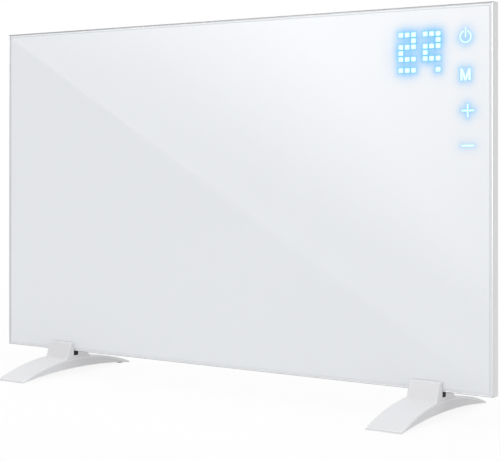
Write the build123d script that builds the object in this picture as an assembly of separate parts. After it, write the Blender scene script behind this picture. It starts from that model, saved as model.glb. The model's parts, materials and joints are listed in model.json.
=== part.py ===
from build123d import *
import math
import os

# Infrared panel heater standing on two clamp-on feet. Millimetres, +X to the right seen from the
# front, +Y to the back, +Z up. The origin is on the floor, midway between the panel's ends and
# midway along the feet. "Depth" is measured back from the panel's front, "height" up from its
# lower edge, and "inset" in from the edge that the name gives.

# ---------------------------------------------------------------- panel and frame
panel_width = 1000.0
panel_height = 600.0
panel_depth = 21.0
panel_lift = 42.5  # floor to the panel's lower edge
panel_setback = 3.0  # the panel's mid-plane lies this far in front of the middle of the feet

rail_wall = 2.0  # outer wall of the frame rail, and the lip seen from the front
rail_lip_radius = 0.5
rail_back_radius = 3.0
rail_bead_width = 5.0  # solid corner of the rail round the back cover
rail_bead_depth = 4.5
ledge_reach = 12.0  # ledge that the glass is taped to, inward from the outer wall
ledge_thickness = 1.5
flange_reach = 14.0  # flange that the back cover is screwed to
flange_thickness = 1.5

key_arm = 42.0  # corner key
key_thickness = 3.0
key_side_gap = 0.3

glass_thickness = 5.0
glass_recess = 0.2  # front of the glass behind the frame's lip
glass_gap = 0.5  # round the glass, inside the frame
glass_bevel_width = 3.0
glass_bevel_depth = 0.6
tape_thickness = 1.0

# ---------------------------------------------------------------- heater layers
core_gap = 0.5  # round the layers, inside the flange
film_thickness = 0.5
bus_bar_thickness = 0.3
bus_bar_width = 8.0
bus_bar_inset = 6.0  # from the film's edges
mica_thickness = 0.4
foil_thickness = 0.3
bay_gap = 9.0  # bay left free of layers, beside the display board
bay_floor_gap = 14.0  # and below it

cutout_length = 15.0  # overheat cut-out
cutout_width = 6.4
cutout_thickness = 3.6
cutout_leg_length = 6.0
cutout_leg_width = 3.0
cutout_leg_thickness = 0.5

# ---------------------------------------------------------------- back cover
cover_thickness = 1.0
cover_gap = 0.2
rib_length = 380.0
rib_width = 16.0
rib_height = 1.2
rib_slope = 0.9
rib_spacing = 190.0
rib_count = 4
rib_offset = -45.0  # middle of the row of ribs from the panel's middle
cover_screw_radius = 1.5
cover_screw_head_radius = 2.7
cover_screw_length = 6.0
cover_screws_along = 5
cover_screws_up = 3
cover_screw_end_inset = 60.0

insert_spacing_x = 560.0  # threaded inserts for a wall bracket
insert_spacing_z = 300.0
insert_bore_radius = 2.5
insert_wall = 1.2
insert_length = 11.0
insert_flange_radius = 5.5
insert_flange_thickness = 0.8

# ---------------------------------------------------------------- display and touch keys
dot_width = 7.4
dot_height = 6.7
dot_pitch_x = 11.0
dot_pitch_z = 9.6
digit_columns = 3
digit_rows = 5
digit_spacing = 42.0
digit_count = 2
indicator_drop = 55.9  # row of indicator dots below the digits' top row
display_right_inset = 90.9  # last column of dots from the panel's right edge
display_top_inset = 43.7  # top row of dots from the panel's upper edge
inlay_thickness = 0.3
shown_digit = ("111", "001", "111", "100", "111")
shown_indicators = ("111", "001")

key_size = 20.0
key_stroke = 2.3
upper_key_inset = 45.1  # power and mode keys from the panel's right edge
lower_key_inset = 41.6  # plus and minus keys
power_drop = 51.0  # key centres below the panel's upper edge
mode_drop = 109.0
plus_drop = 164.5
minus_drop = 218.4
power_diameter = 19.5
power_stroke = 1.8
power_gap = 2.2  # between the bar and the ends of the ring
power_bar_rise = 14.0  # bar's upper end above the ring's centre
power_bar_fall = 1.0
mode_width = 16.6
mode_height = 18.0
mode_stroke = 3.4

board_margin = 9.0
board_thickness = 1.6
mask_thickness = 3.0
led_width = 3.2
led_height = 2.8
led_thickness = 1.2
touch_pad_radius = 9.6
touch_pad_hole_radius = 7.0
touch_pad_thickness = 0.2
pad_hole_gap = 0.5
receiver_size = 5.0
receiver_lens_radius = 1.1
receiver_inset = 14.0  # from the display board's left and lower edges
receiver_hole_gap = 1.0

# ---------------------------------------------------------------- control box on the back
box_width = 140.0
box_lead_rise = 13.6  # heater leads above the box's lower edge
box_depth = 28.0
box_wall = 2.2
box_radius = 6.0
box_edge_radius = 1.5
box_right_inset = 24.0
box_top_inset = 24.0
lid_lip = 1.6
lid_lip_height = 2.0
lid_gap = 0.2
vent_length = 44.0
vent_width = 2.6
vent_pitch = 7.0
vent_count = 7
vent_drop = 58.0  # first vent slot below the lid's upper edge

box_screw_inset = 9.0
box_screw_radius = 1.5
box_screw_head_radius = 2.8
box_screw_head_depth = 1.4
box_boss_radius = 4.2

circuit_side_gap = 2.0  # between the circuit board and the power switch
circuit_top_inset = 18.0
circuit_bottom_inset = 40.0
circuit_thickness = 1.6
standoff_radius = 3.0
standoff_height = 5.0
standoff_inset = 6.0

ribbon_width = 20.0
ribbon_thickness = 1.0
ribbon_slot_gap = 1.5
ribbon_drop = 130.0  # ribbon cable below the panel's upper edge
header_height = 3.0
header_width = 5.0

lead_radius = 1.5
lead_first_bend = 9.0
lead_last_bend = 7.0
lead_turn_depth = 14.0  # from the back cover to the leads' run along the box
lead_entry = 6.0  # lead's end inside the terminal block
lead_entry_gap = 0.1
tail_rise = 7.0  # lead holes above the film's edge
lead_side_gap = 1.0  # between a lead's grommet and the box's screw boss
grommet_wall = 1.3
grommet_flange = 1.2
grommet_flange_thickness = 0.9

terminal_width = 27.0
terminal_height = 12.0
terminal_depth = 12.0
terminal_pitch = 15.0
terminal_screw_radius = 1.8
terminal_screw_depth = 3.0

component_round = 0.8
relay_size = (19.0, 12.0, 15.5)  # X, depth, height
power_module_size = (34.0, 13.0, 22.0)
capacitor_radius = 5.0
capacitor_length = 12.0
fuse_radius = 2.6
fuse_length = 20.0
fuse_cap_length = 5.0
fuse_cap_wall = 0.4
buzzer_radius = 6.0
buzzer_height = 8.0
buzzer_hole_radius = 1.2
part_row_upper = 0.80  # rows of parts, as shares of the circuit board's height
part_row_middle = 0.55
part_row_lower = 0.30
part_column_left = 0.25
part_column_right = 0.70

sensor_bead_radius = 1.8
sensor_leg_width = 0.8
sensor_leg_length = 9.0
sensor_leg_pitch = 2.0

# power switch in the box's right wall
rocker_width = 10.6
rocker_length = 15.6
rocker_pivot_depth = 3.2  # pivot behind the flange's face
rocker_rise = 4.4  # face of the rocker above its pivot, at the middle
rocker_end_rise = 6.2
rocker_end_thickness = 3.4
rocker_depth = 3.5
rocker_tilt = 8.0  # rest position is ON
rocker_pin_radius = 1.0
rocker_pin_reach = 1.2
rocker_pin_gap = 0.05
rocker_gap = 0.3  # beside the rocker
rocker_end_gap = 0.7
switch_wall = 2.0
switch_flange = 2.0
switch_flange_thickness = 1.4
switch_body_depth = 12.0
switch_rise = 58.0  # its centre above the box's lower edge

# cable gland in the box's lower wall
gland_bore_radius = 3.6
gland_sleeve_radius = 6.0
gland_cap_radius = 8.0
gland_cap_length = 10.0
gland_cap_round = 2.0
gland_nut_radius = 9.0
gland_nut_length = 4.0
gland_sleeve_length = 9.0
gland_inset = 36.0  # from the box's right edge
gland_hole_gap = 0.1

# tip-over switch on the circuit board
tilt_cheek = 1.5
tilt_width = 11.0  # between the cheeks
tilt_height = 22.0
tilt_base = 1.2
tilt_pin_radius = 0.95
tilt_pin_gap = 0.05
tilt_pin_drop = 4.0
tilt_arm_length = 9.0
tilt_arm_width = 3.0
tilt_eye_radius = 2.2
tilt_bob_radius = 2.4
tilt_bob_length = 7.0
tilt_side_gap = 1.0

# ---------------------------------------------------------------- feet
foot_length = 305.0
foot_width = 61.0
foot_crown = 29.5  # top of the arch above the floor
foot_tip_height = 3.3  # top of the tips above the floor
foot_plate = 3.2
foot_arch_rise = 10.2  # lower edge of the skirts above the floor, at mid-length
foot_skirt = 2.6
foot_skirt_inset = 1.2
foot_edge_radius = 1.1
foot_stand = 0.5  # moulding above the floor, on its rubber pads
foot_rib_spacing = 34.0
foot_rib_count = 5
foot_left_inset = 136.0  # middle of the left foot from the panel's left edge
foot_right_inset = 113.5  # middle of the right foot from the panel's right edge

jaw_width = 53.0
jaw_rise = 15.5  # top of the jaws above the panel's lower edge
jaw_front_top = 8.2
jaw_front_bottom = 19.0
jaw_toe = 6.0
jaw_embed = 2.2  # jaws sunk into the plate
jaw_corner = 5.0  # upper corner on the foot's left
jaw_round = 2.0
jaw_fillet = 3.0
jaw_back_top = 6.0
jaw_back_bottom = 19.0
jaw_back_toe = 16.0
jaw_back_fillet = 16.0
jaw_shoulder_depth = 12.5  # back jaw's shoulder under the panel, back from the glass
jaw_shoulder_gap = 0.1

saddle_rise = 4.0  # saddle between the jaws, above the arch's crown
seat_pocket = 0.8  # seat let into the saddle
seat_lip = 0.8  # rubber between the front jaw and the glass
seat_inset = 0.8
seat_gap = 0.05

pad_width = 40.0  # rubber pads under the foot's tips
pad_length = 11.0
pad_thickness = 1.8
pad_tip_inset = 6.0

clamp_plate_width = 40.0
clamp_plate_height = 11.0
clamp_plate_thickness = 2.0
clamp_plate_corner = 2.2
clamp_plate_rise = 2.5  # its lower edge above the panel's lower edge
clamp_travel = 1.92
clamp_slack = 0.3
clamp_stud_radius = 2.5
clamp_stud_gap = 0.06
clamp_stud_fit = 4.0  # stud's end inside the knob
clamp_insert_wall = 1.3
clamp_insert_length = 5.5
clamp_knob_radius = 9.0
clamp_knob_length = 10.0
clamp_knob_scallop = 3.2
clamp_knob_lobes = 6
clamp_knob_gap = 1.0
clamp_knob_round = 1.0

# ---------------------------------------------------------------- derived places
panel_front = -panel_setback - panel_depth / 2
half_width = panel_width / 2
glass_back = glass_recess + glass_thickness
ledge_front = glass_back + tape_thickness
ledge_back = ledge_front + ledge_thickness
cover_front = panel_depth - cover_thickness
flange_front = cover_front - flange_thickness
core_inset = rail_wall + max(ledge_reach, flange_reach) + core_gap

film_back = glass_back + film_thickness
bus_back = film_back + bus_bar_thickness
mica_back = bus_back + mica_thickness
foil_back = mica_back + foil_thickness

dots_right = half_width - display_right_inset
dots_left = dots_right - (digit_count - 1) * digit_spacing - (digit_columns - 1) * dot_pitch_x
dots_top = panel_height - display_top_inset
upper_key_x = half_width - upper_key_inset
lower_key_x = half_width - lower_key_inset
key_places = [
    (upper_key_x, panel_height - power_drop),
    (upper_key_x, panel_height - mode_drop),
    (lower_key_x, panel_height - plus_drop),
    (lower_key_x, panel_height - minus_drop),
]
board_left = dots_left - dot_width / 2 - board_margin
board_right = lower_key_x + key_size / 2 + board_margin
board_top = max(dots_top + dot_height / 2, key_places[0][1] + power_bar_rise) + board_margin
board_bottom = key_places[-1][1] - key_size / 2 - board_margin
bay_bottom = board_bottom - bay_floor_gap
mask_back = glass_back + mask_thickness
board_back = mask_back + board_thickness

box_right = half_width - box_right_inset
box_left = box_right - box_width
box_top = panel_height - box_top_inset
tail_height = bay_bottom + tail_rise
box_bottom = tail_height - box_lead_rise
box_height = box_top - box_bottom
box_floor = panel_depth + box_wall
box_back = panel_depth + box_depth
lid_front = box_back - box_wall
circuit_front = box_floor + standoff_height
circuit_back = circuit_front + circuit_thickness
circuit_x = (box_left + box_right) / 2
circuit_top = box_top - circuit_top_inset
circuit_bottom = box_bottom + circuit_bottom_inset
circuit_height = circuit_top - circuit_bottom
circuit_width = box_width - 2 * (switch_body_depth + circuit_side_gap)

grommet_radius = lead_radius + grommet_wall
lead_inset = box_screw_inset + box_boss_radius + lead_side_gap + grommet_radius + grommet_flange
inner_tail_x = box_left + lead_inset
outer_tail_x = box_right - lead_inset
cutout_left = inner_tail_x - cutout_leg_length - cutout_length
bay_left = min(board_left, cutout_left) - bay_gap
inner_bar_x = bay_left - bus_bar_inset
lead_depth = panel_depth + lead_turn_depth

foot_radius = ((foot_length / 2) ** 2 + (foot_crown - foot_tip_height) ** 2) / (
    2 * (foot_crown - foot_tip_height)
)
foot_arc_centre = foot_crown - foot_radius
jaw_top = panel_lift + jaw_rise
jaw_inner_front = panel_front - seat_lip
jaw_shoulder_y = panel_front + jaw_shoulder_depth
saddle_top = foot_crown + saddle_rise
panel_back = panel_front + panel_depth
jaw_inner_back = panel_back + clamp_plate_thickness + clamp_travel + clamp_slack
clamp_height = panel_lift + clamp_plate_rise + clamp_plate_height / 2
clamp_insert_radius = clamp_stud_radius + clamp_stud_gap + clamp_insert_wall
knob_front = jaw_inner_back + jaw_back_bottom + clamp_knob_gap


# ---------------------------------------------------------------- helpers
def block(x, y, z):
    """Box between the two values of each (low, high) pair, in the part's frame."""
    size = [high - low for low, high in (x, y, z)]
    middle = [(high + low) / 2 for low, high in (x, y, z)]
    return Pos(*middle) * Box(*size)


def panel_block(x, depth, height):
    """Box given by X, depth behind the panel's front and height above its lower edge."""
    return block(x, [panel_front + d for d in depth], [panel_lift + h for h in height])


def sheet(outline, near, far):
    """Outline drawn in X and height, made solid from depth near to depth far."""
    plane = Plane((0, panel_front + far, panel_lift), x_dir=(1, 0, 0), z_dir=(0, -1, 0))
    return extrude(plane * outline, amount=far - near)


def across(outline, x_low, x_high):
    """Outline drawn in Y and Z, made solid from x_low to x_high."""
    plane = Plane((x_low, 0, 0), x_dir=(0, 1, 0), z_dir=(1, 0, 0))
    return extrude(plane * outline, amount=x_high - x_low)


def area(x, height):
    """Rectangle between the two values of each (low, high) pair."""
    centre = Pos((x[0] + x[1]) / 2, (height[0] + height[1]) / 2)
    return centre * Rectangle(x[1] - x[0], height[1] - height[0])


def disc(x, height, radius):
    """Circle in X and height."""
    return Pos(x, height) * Circle(radius)


def rod(x, depth, height, radius):
    """Cylinder along Y between the two depths."""
    return sheet(disc(x, height, radius), depth[0], depth[1])


def polygon(points):
    """Face inside a closed polyline."""
    return make_face(Polyline(*points, close=True))


def nearest(shape, points):
    """Vertices of a face that lie nearest to the given points."""
    return [shape.vertices().sort_by_distance(Vector(*p))[0] for p in points]


def group(solids):
    """Separate solids kept in one node."""
    return Compound(children=[s for solid in solids for s in solid.solids()])


# ---------------------------------------------------------------- frame
def rail_section():
    """Rail's section: x runs inward from the outer face, y back from the front."""
    corner = (Align.MIN, Align.MIN)
    section = Rectangle(rail_wall, panel_depth, align=corner)
    bead_front = panel_depth - rail_bead_depth
    section += Pos(0, bead_front) * Rectangle(rail_bead_width, rail_bead_depth, align=corner)
    section += Pos(0, ledge_front) * Rectangle(rail_wall + ledge_reach, ledge_thickness, align=corner)
    section += Pos(0, flange_front) * Rectangle(rail_wall + flange_reach, flange_thickness, align=corner)
    section = fillet(nearest(section, [(0, panel_depth)]), rail_back_radius)
    return fillet(nearest(section, [(0, 0), (rail_wall, 0)]), rail_lip_radius)


def rail(length):
    """Rail along X with its outer face down, its ends mitred, centred on the origin."""
    plane = Plane((-length / 2, 0, 0), x_dir=(0, 0, 1), z_dir=(1, 0, 0))
    # this plane's second direction points to the front, so the section is mirrored to run back
    bar = extrude(plane * mirror(rail_section(), Plane.XZ), amount=length)
    for side in (-1, 1):
        cut = Plane((side * length / 2, 0, 0), z_dir=(-side, 0, -1))
        bar = split(bar, bisect_by=cut, keep=Keep.TOP)
    return bar


def frame_rails():
    """The four mitred rails by node name, with pilot holes for the cover screws."""
    middle = panel_lift + panel_height / 2
    places = {
        "bottom": (Pos(0, panel_front, panel_lift), panel_width),
        "top": (Pos(0, panel_front, panel_lift + panel_height) * Rot(0, 180, 0), panel_width),
        "left": (Pos(-half_width, panel_front, middle) * Rot(0, 90, 0), panel_height),
        "right": (Pos(half_width, panel_front, middle) * Rot(0, -90, 0), panel_height),
    }
    holes = cover_screw_places()
    rails = {}
    for side, (place, length) in places.items():
        bar = place * rail(length)
        for x, height in holes[side]:
            bar -= rod(x, (flange_front, cover_front), height, cover_screw_radius)
        rails["frame_rail_" + side] = bar
    return rails


def corner_keys():
    """Four L-shaped keys inside the rails' channel, against the outer walls."""
    depth = (ledge_back + key_side_gap, panel_depth - rail_bead_depth - key_side_gap)
    keys = []
    for side in (-1, 1):
        for base, up in ((0, 1), (panel_height, -1)):
            edge = side * (half_width - rail_wall)
            x_arm = sorted((edge, edge - side * key_arm))
            x_post = sorted((edge, edge - side * key_thickness))
            foot = base + up * rail_wall
            arm = panel_block(x_arm, depth, sorted((foot, foot + up * key_thickness)))
            post = panel_block(x_post, depth, sorted((foot, foot + up * key_arm)))
            keys.append(arm + post)
    return group(keys)


# ---------------------------------------------------------------- glass and its inlays
def glass_outline(inset):
    """Rectangle inset evenly from the panel's edges."""
    return area((-half_width + inset, half_width - inset), (inset, panel_height - inset))


def dot_cells():
    """Centres of every dot of the display, digits first, then each digit's indicators."""
    digits = []
    indicators = []
    for digit in range(digit_count):
        left = dots_left + digit * digit_spacing
        for column in range(digit_columns):
            x = left + column * dot_pitch_x
            digits += [(digit, row, column, x, dots_top - row * dot_pitch_z) for row in range(digit_rows)]
            indicators.append((digit, column, x, dots_top - indicator_drop))
    return digits, indicators


def lit_dots():
    """Centres of the dots that show."""
    digits, indicators = dot_cells()
    lit = [(x, h) for _, row, column, x, h in digits if shown_digit[row][column] == "1"]
    return lit + [(x, h) for digit, column, x, h in indicators if shown_indicators[digit][column] == "1"]


def dot_outline(x, height):
    """One dot's rectangle."""
    return Pos(x, height) * Rectangle(dot_width, dot_height)


def display_digits():
    """Translucent windows of the lit dots, flush with the glass."""
    near = glass_recess
    return group([sheet(dot_outline(x, h), near, near + inlay_thickness) for x, h in lit_dots()])


def power_outline(x, height):
    """Ring open at the top, with a bar through the opening."""
    outer = power_diameter / 2
    ring = disc(x, height, outer) - disc(x, height, outer - power_stroke)
    opening = power_stroke / 2 + power_gap
    ring -= area((x - opening, x + opening), (height, height + outer))
    half = power_stroke / 2
    bar = area((x - half, x + half), (height - power_bar_fall, height + power_bar_rise))
    return [ring, bar]


def mode_outline(x, height):
    """Letter M from two posts and two slanted strokes."""
    left = x - mode_width / 2
    right = x + mode_width / 2
    top = height + mode_height / 2
    low = height - mode_height / 2
    letter = area((left, left + mode_stroke), (low, top))
    letter += area((right - mode_stroke, right), (low, top))
    for side in (left, right):
        inner = side + math.copysign(mode_stroke, x - side)
        half = math.copysign(mode_stroke / 2, x - side)
        letter += polygon([(side, top), (inner, top), (x + half, low), (x - half, low)])
    return [letter]


def plus_outline(x, height):
    """Two crossed bars."""
    long = key_size / 2
    half = key_stroke / 2
    flat = area((x - long, x + long), (height - half, height + half))
    return [flat + area((x - half, x + half), (height - long, height + long))]


def minus_outline(x, height):
    """One flat bar."""
    long = key_size / 2
    half = key_stroke / 2
    return [area((x - long, x + long), (height - half, height + half))]


def key_marks():
    """Translucent windows of the four touch keys, flush with the glass."""
    makers = (power_outline, mode_outline, plus_outline, minus_outline)
    marks = []
    for maker, (x, height) in zip(makers, key_places):
        marks += [sheet(o, glass_recess, glass_recess + inlay_thickness) for o in maker(x, height)]
    return group(marks)


def glass_panel():
    """Glass with a bevelled front edge and shallow seats for the lit windows."""
    inset = rail_wall + glass_gap
    glass = sheet(glass_outline(inset), glass_recess, glass_back)
    front = glass.faces().sort_by(Axis.Y)[0]
    glass = chamfer(front.edges(), glass_bevel_depth, glass_bevel_width, reference=front)
    glass -= [s for s in display_digits().solids()]
    glass -= [s for s in key_marks().solids()]
    return glass


def glass_tape():
    """Silicone tape between the glass and the rails' ledge."""
    outer = glass_outline(rail_wall + glass_gap)
    return sheet(outer - glass_outline(rail_wall + ledge_reach), glass_back, ledge_front)


# ---------------------------------------------------------------- heater layers
def layer(near, far):
    """One heater layer, with the display's bay left out of its upper right corner."""
    left = -half_width + core_inset
    right = half_width - core_inset
    high = panel_height - core_inset
    outline = polygon([
        (left, core_inset),
        (right, core_inset),
        (right, bay_bottom),
        (bay_left, bay_bottom),
        (bay_left, high),
        (left, high),
    ])
    return sheet(outline, near, far)


tail_span = (tail_height - bus_bar_width / 2, tail_height + bus_bar_width / 2)


def bus_bar_outer():
    """Copper strip up the left side, along the bottom and up the right side to its lead."""
    low = core_inset + bus_bar_inset
    left = -half_width + core_inset + bus_bar_inset
    right = half_width - core_inset - bus_bar_inset
    strip = area((left, left + bus_bar_width), (low, panel_height - core_inset - bus_bar_inset))
    strip += area((left, right), (low, low + bus_bar_width))
    strip += area((right - bus_bar_width, right), (low, tail_span[1]))
    strip += area((outer_tail_x - bus_bar_width / 2, right), tail_span)
    return sheet(strip, film_back, bus_back)


def bus_bar_inner():
    """Copper strip beside the display's bay, with a tail across to the overheat cut-out."""
    low = core_inset + 2 * bus_bar_inset + bus_bar_width
    high = panel_height - core_inset - bus_bar_inset
    strip = area((inner_bar_x - bus_bar_width, inner_bar_x), (low, high))
    strip += area((inner_bar_x - bus_bar_width, cutout_left), tail_span)
    return sheet(strip, film_back, bus_back)


def overheat_cutout():
    """Cut-out in line with the inner bus bar, with a flat leg at each end."""
    right = cutout_left + cutout_length
    half = cutout_width / 2
    height = (tail_height - half, tail_height + half)
    body = panel_block((cutout_left, right), (bus_back, bus_back + cutout_thickness), height)
    body = fillet(body.faces().sort_by(Axis.Y)[-1].edges(), cutout_leg_thickness)
    leg = (tail_height - cutout_leg_width / 2, tail_height + cutout_leg_width / 2)
    depth = (bus_back, bus_back + cutout_leg_thickness)
    body += panel_block((cutout_left - cutout_leg_length, cutout_left), depth, leg)
    return body + panel_block((right, right + cutout_leg_length + cutout_leg_width / 2), depth, leg)


# ---------------------------------------------------------------- back cover
def cover_screw_places():
    """Screw centres along the flange of each rail."""
    inset = rail_wall + (rail_bead_width - rail_wall + flange_reach) / 2
    span_x = panel_width - 2 * cover_screw_end_inset
    span_z = panel_height - 2 * cover_screw_end_inset
    along = [cover_screw_end_inset - half_width + span_x * i / (cover_screws_along - 1)
             for i in range(cover_screws_along)]
    up = [cover_screw_end_inset + span_z * i / (cover_screws_up - 1) for i in range(cover_screws_up)]
    return {
        "bottom": [(x, inset) for x in along],
        "top": [(x, panel_height - inset) for x in along],
        "left": [(-half_width + inset, height) for height in up],
        "right": [(half_width - inset, height) for height in up],
    }


def cover_screws():
    """Every cover screw."""
    return [cover_screw(x, h) for places in cover_screw_places().values() for x, h in places]


def cover_screw(x, height):
    """Flush countersunk screw."""
    top = panel_front + panel_depth
    head = Cone(cover_screw_radius, cover_screw_head_radius, cover_thickness)
    head = Pos(x, top - cover_thickness / 2, panel_lift + height) * Rot(-90, 0, 0) * head
    tip = panel_depth - cover_screw_length
    return head + rod(x, (tip, cover_front), height, cover_screw_radius)


def insert_places():
    """Centres of the threaded inserts."""
    middle = panel_height / 2
    return [
        (sx * insert_spacing_x / 2, middle + sz * insert_spacing_z / 2)
        for sx in (-1, 1)
        for sz in (-1, 1)
    ]


def wall_inserts():
    """Threaded inserts riveted into the back cover."""
    outer = insert_bore_radius + insert_wall
    parts = []
    for x, height in insert_places():
        sleeve = rod(x, (panel_depth - insert_length, panel_depth), height, outer)
        flange = (panel_depth, panel_depth + insert_flange_thickness)
        sleeve += rod(x, flange, height, insert_flange_radius)
        whole = (panel_depth - insert_length, panel_depth + insert_flange_thickness)
        parts.append(sleeve - rod(x, whole, height, insert_bore_radius))
    return group(parts)


def lead_places():
    """Where the two heater leads pass through the back: X and height."""
    return [(inner_tail_x, tail_height), (outer_tail_x, tail_height)]


ribbon_height = panel_height - ribbon_drop
ribbon_x = (board_left + board_right) / 2


def back_openings(near, far):
    """Ribbon slot and lead holes, cut from depth near to far."""
    half_w = ribbon_width / 2 + ribbon_slot_gap
    half_h = ribbon_thickness / 2 + ribbon_slot_gap
    slot = area((ribbon_x - half_w, ribbon_x + half_w), (ribbon_height - half_h, ribbon_height + half_h))
    tools = [sheet(slot, near, far)]
    for x, height in lead_places():
        tools.append(rod(x, (near, far), height, grommet_radius))
    return tools


def back_cover():
    """Sheet steel cover with pressed ribs."""
    cover = sheet(glass_outline(rail_bead_width + cover_gap), cover_front, panel_depth)
    for i in range(rib_count):
        x = rib_offset + (i - (rib_count - 1) / 2) * rib_spacing
        outline = Pos(x, panel_height / 2) * Rot(0, 0, 90) * SlotOverall(rib_length, rib_width)
        rib = sheet(outline, cover_front, panel_depth + rib_height)
        rib = chamfer(rib.faces().sort_by(Axis.Y)[-1].edges(), rib_slope)
        cover += rib
    for screw in cover_screws():
        cover -= screw
    for x, height in insert_places():
        cover -= rod(x, (cover_front, panel_depth), height, insert_bore_radius + insert_wall)
    for tool in back_openings(cover_front, panel_depth):
        cover -= tool
    return cover


def insulation_board():
    """Fibre board between the foil and the back cover, clear of what passes through it."""
    board = layer(foil_back, cover_front)
    for x, height in insert_places():
        reach = (panel_depth - insert_length, cover_front)
        board -= rod(x, reach, height, insert_bore_radius + insert_wall + core_gap)
    return board


# ---------------------------------------------------------------- display behind the glass
def board_outline():
    """Outline that the light mask and the display board share."""
    return area((board_left, board_right), (board_bottom, board_top))


receiver_x = board_left + receiver_inset
receiver_h = board_bottom + receiver_inset


def light_mask():
    """Opaque grid that keeps each dot's light apart."""
    outline = board_outline()
    digits, indicators = dot_cells()
    for place in digits + indicators:
        outline -= dot_outline(place[-2], place[-1])
    for x, height in key_places:
        outline -= disc(x, height, touch_pad_radius + pad_hole_gap)
    outline -= disc(receiver_x, receiver_h, receiver_size / 2 + receiver_hole_gap)
    return sheet(outline, glass_back, mask_back)


def display_board():
    """Circuit board that carries the display's lights and touch pads."""
    return sheet(board_outline(), mask_back, board_back)


def display_leds():
    """One light behind each dot and each key."""
    digits, indicators = dot_cells()
    places = [(place[-2], place[-1]) for place in digits + indicators] + key_places
    lights = []
    for x, height in places:
        outline = Pos(x, height) * Rectangle(led_width, led_height)
        lights.append(sheet(outline, mask_back - led_thickness, mask_back))
    return group(lights)


def touch_pads():
    """Copper rings on the back of the glass, round each key's light."""
    pads = []
    for x, height in key_places:
        ring = disc(x, height, touch_pad_radius) - disc(x, height, touch_pad_hole_radius)
        pads.append(sheet(ring, glass_back, glass_back + touch_pad_thickness))
    return group(pads)


def infrared_receiver():
    """Receiver with a domed lens, on the display board."""
    low = mask_back - led_thickness
    body = rod(receiver_x, (low, mask_back), receiver_h, receiver_size / 2)
    dome = Pos(receiver_x, panel_front + low, panel_lift + receiver_h) * Sphere(receiver_lens_radius)
    return body + dome


def ribbon_cable():
    """Flat cable from the display board to the circuit board, with a header at each end."""
    half_w = ribbon_width / 2
    half_t = ribbon_thickness / 2
    x = (ribbon_x - half_w, ribbon_x + half_w)
    cable = panel_block(x, (board_back, circuit_front), (ribbon_height - half_t, ribbon_height + half_t))
    rise = (ribbon_height - header_width / 2, ribbon_height + header_width / 2)
    cable += panel_block(x, (board_back, board_back + header_height), rise)
    return cable + panel_block(x, (circuit_front - header_height / 2, circuit_front), rise)


# ---------------------------------------------------------------- control box
def box_outline(inset):
    """Rounded rectangle of the control box, inset evenly."""
    centre = Pos((box_left + box_right) / 2, (box_bottom + box_top) / 2)
    return centre * RectangleRounded(box_width - 2 * inset, box_height - 2 * inset, box_radius - inset)


def box_screw_places():
    """Lid screws near the box's corners."""
    return [
        (x, height)
        for x in (box_left + box_screw_inset, box_right - box_screw_inset)
        for height in (box_bottom + box_screw_inset, box_top - box_screw_inset)
    ]


def standoff_places():
    """Corners where the circuit board is held."""
    half = circuit_width / 2 - standoff_inset
    return [
        (x, height)
        for x in (circuit_x - half, circuit_x + half)
        for height in (circuit_bottom + standoff_inset, circuit_top - standoff_inset)
    ]


switch_h = box_bottom + switch_rise
switch_depth = (box_floor + lid_front) / 2
switch_half_w = rocker_width / 2 + rocker_gap + switch_wall
switch_half_h = rocker_length / 2 + rocker_end_gap + switch_wall
gland_x = box_right - gland_inset
gland_depth = (box_floor + lid_front) / 2
gland_y = panel_front + gland_depth
gland_top = panel_lift + box_bottom + gland_sleeve_length


def box_base():
    """Tray of the control box, open to the back."""
    base = sheet(box_outline(0), panel_depth, lid_front)
    base -= sheet(box_outline(box_wall), box_floor, lid_front)
    for x, height in box_screw_places():
        base += rod(x, (panel_depth, lid_front - lid_lip_height), height, box_boss_radius)
        base -= rod(x, (panel_depth, lid_front), height, box_screw_radius)
    for x, height in standoff_places():
        base += rod(x, (panel_depth, circuit_front), height, standoff_radius)
    for tool in back_openings(panel_depth, box_floor):
        base -= tool
    depth = (switch_depth - switch_half_w, switch_depth + switch_half_w)
    height = (switch_h - switch_half_h, switch_h + switch_half_h)
    base -= panel_block((box_right - box_wall, box_right), depth, height)
    wall = Pos(gland_x, gland_y, panel_lift + box_bottom + box_wall / 2)
    base -= wall * Cylinder(gland_sleeve_radius + gland_hole_gap, box_wall)
    for i in range(vent_count):
        x = circuit_x + (i - (vent_count - 1) / 2) * vent_pitch
        slot = (box_floor + standoff_height, lid_front - standoff_height)
        span = (x - vent_width / 2, x + vent_width / 2)
        base -= panel_block(span, slot, (box_bottom, box_bottom + box_wall))
        base -= panel_block(span, slot, (box_top - box_wall, box_top))
    return base


def box_lid():
    """Lid with a locating lip, vent slots and countersunk screw holes."""
    lid = sheet(box_outline(0), lid_front, box_back)
    lid = fillet(lid.faces().sort_by(Axis.Y)[-1].edges(), box_edge_radius)
    lip = box_outline(box_wall + lid_gap) - box_outline(box_wall + lid_gap + lid_lip)
    lid += sheet(lip, lid_front - lid_lip_height, lid_front)
    for x, height in box_screw_places():
        lid -= rod(x, (lid_front - lid_lip_height, lid_front), height, box_boss_radius + lid_gap)
        lid -= lid_screw(x, height)
    for i in range(vent_count):
        height = box_top - vent_drop - i * vent_pitch
        outline = Pos(circuit_x, height) * SlotOverall(vent_length, vent_width)
        lid -= sheet(outline, lid_front, box_back)
    return lid


def lid_screw(x, height):
    """Long screw through the lid and the boss into the back cover."""
    top = panel_front + box_back
    head = Cone(box_screw_radius, box_screw_head_radius, box_screw_head_depth)
    head = Pos(x, top - box_screw_head_depth / 2, panel_lift + height) * Rot(-90, 0, 0) * head
    return head + rod(x, (panel_depth, box_back - box_screw_head_depth), height, box_screw_radius)


def circuit_board():
    """Main circuit board."""
    half = circuit_width / 2
    outline = area((circuit_x - half, circuit_x + half), (circuit_bottom, circuit_top))
    return sheet(outline, circuit_front, circuit_back)


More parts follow.
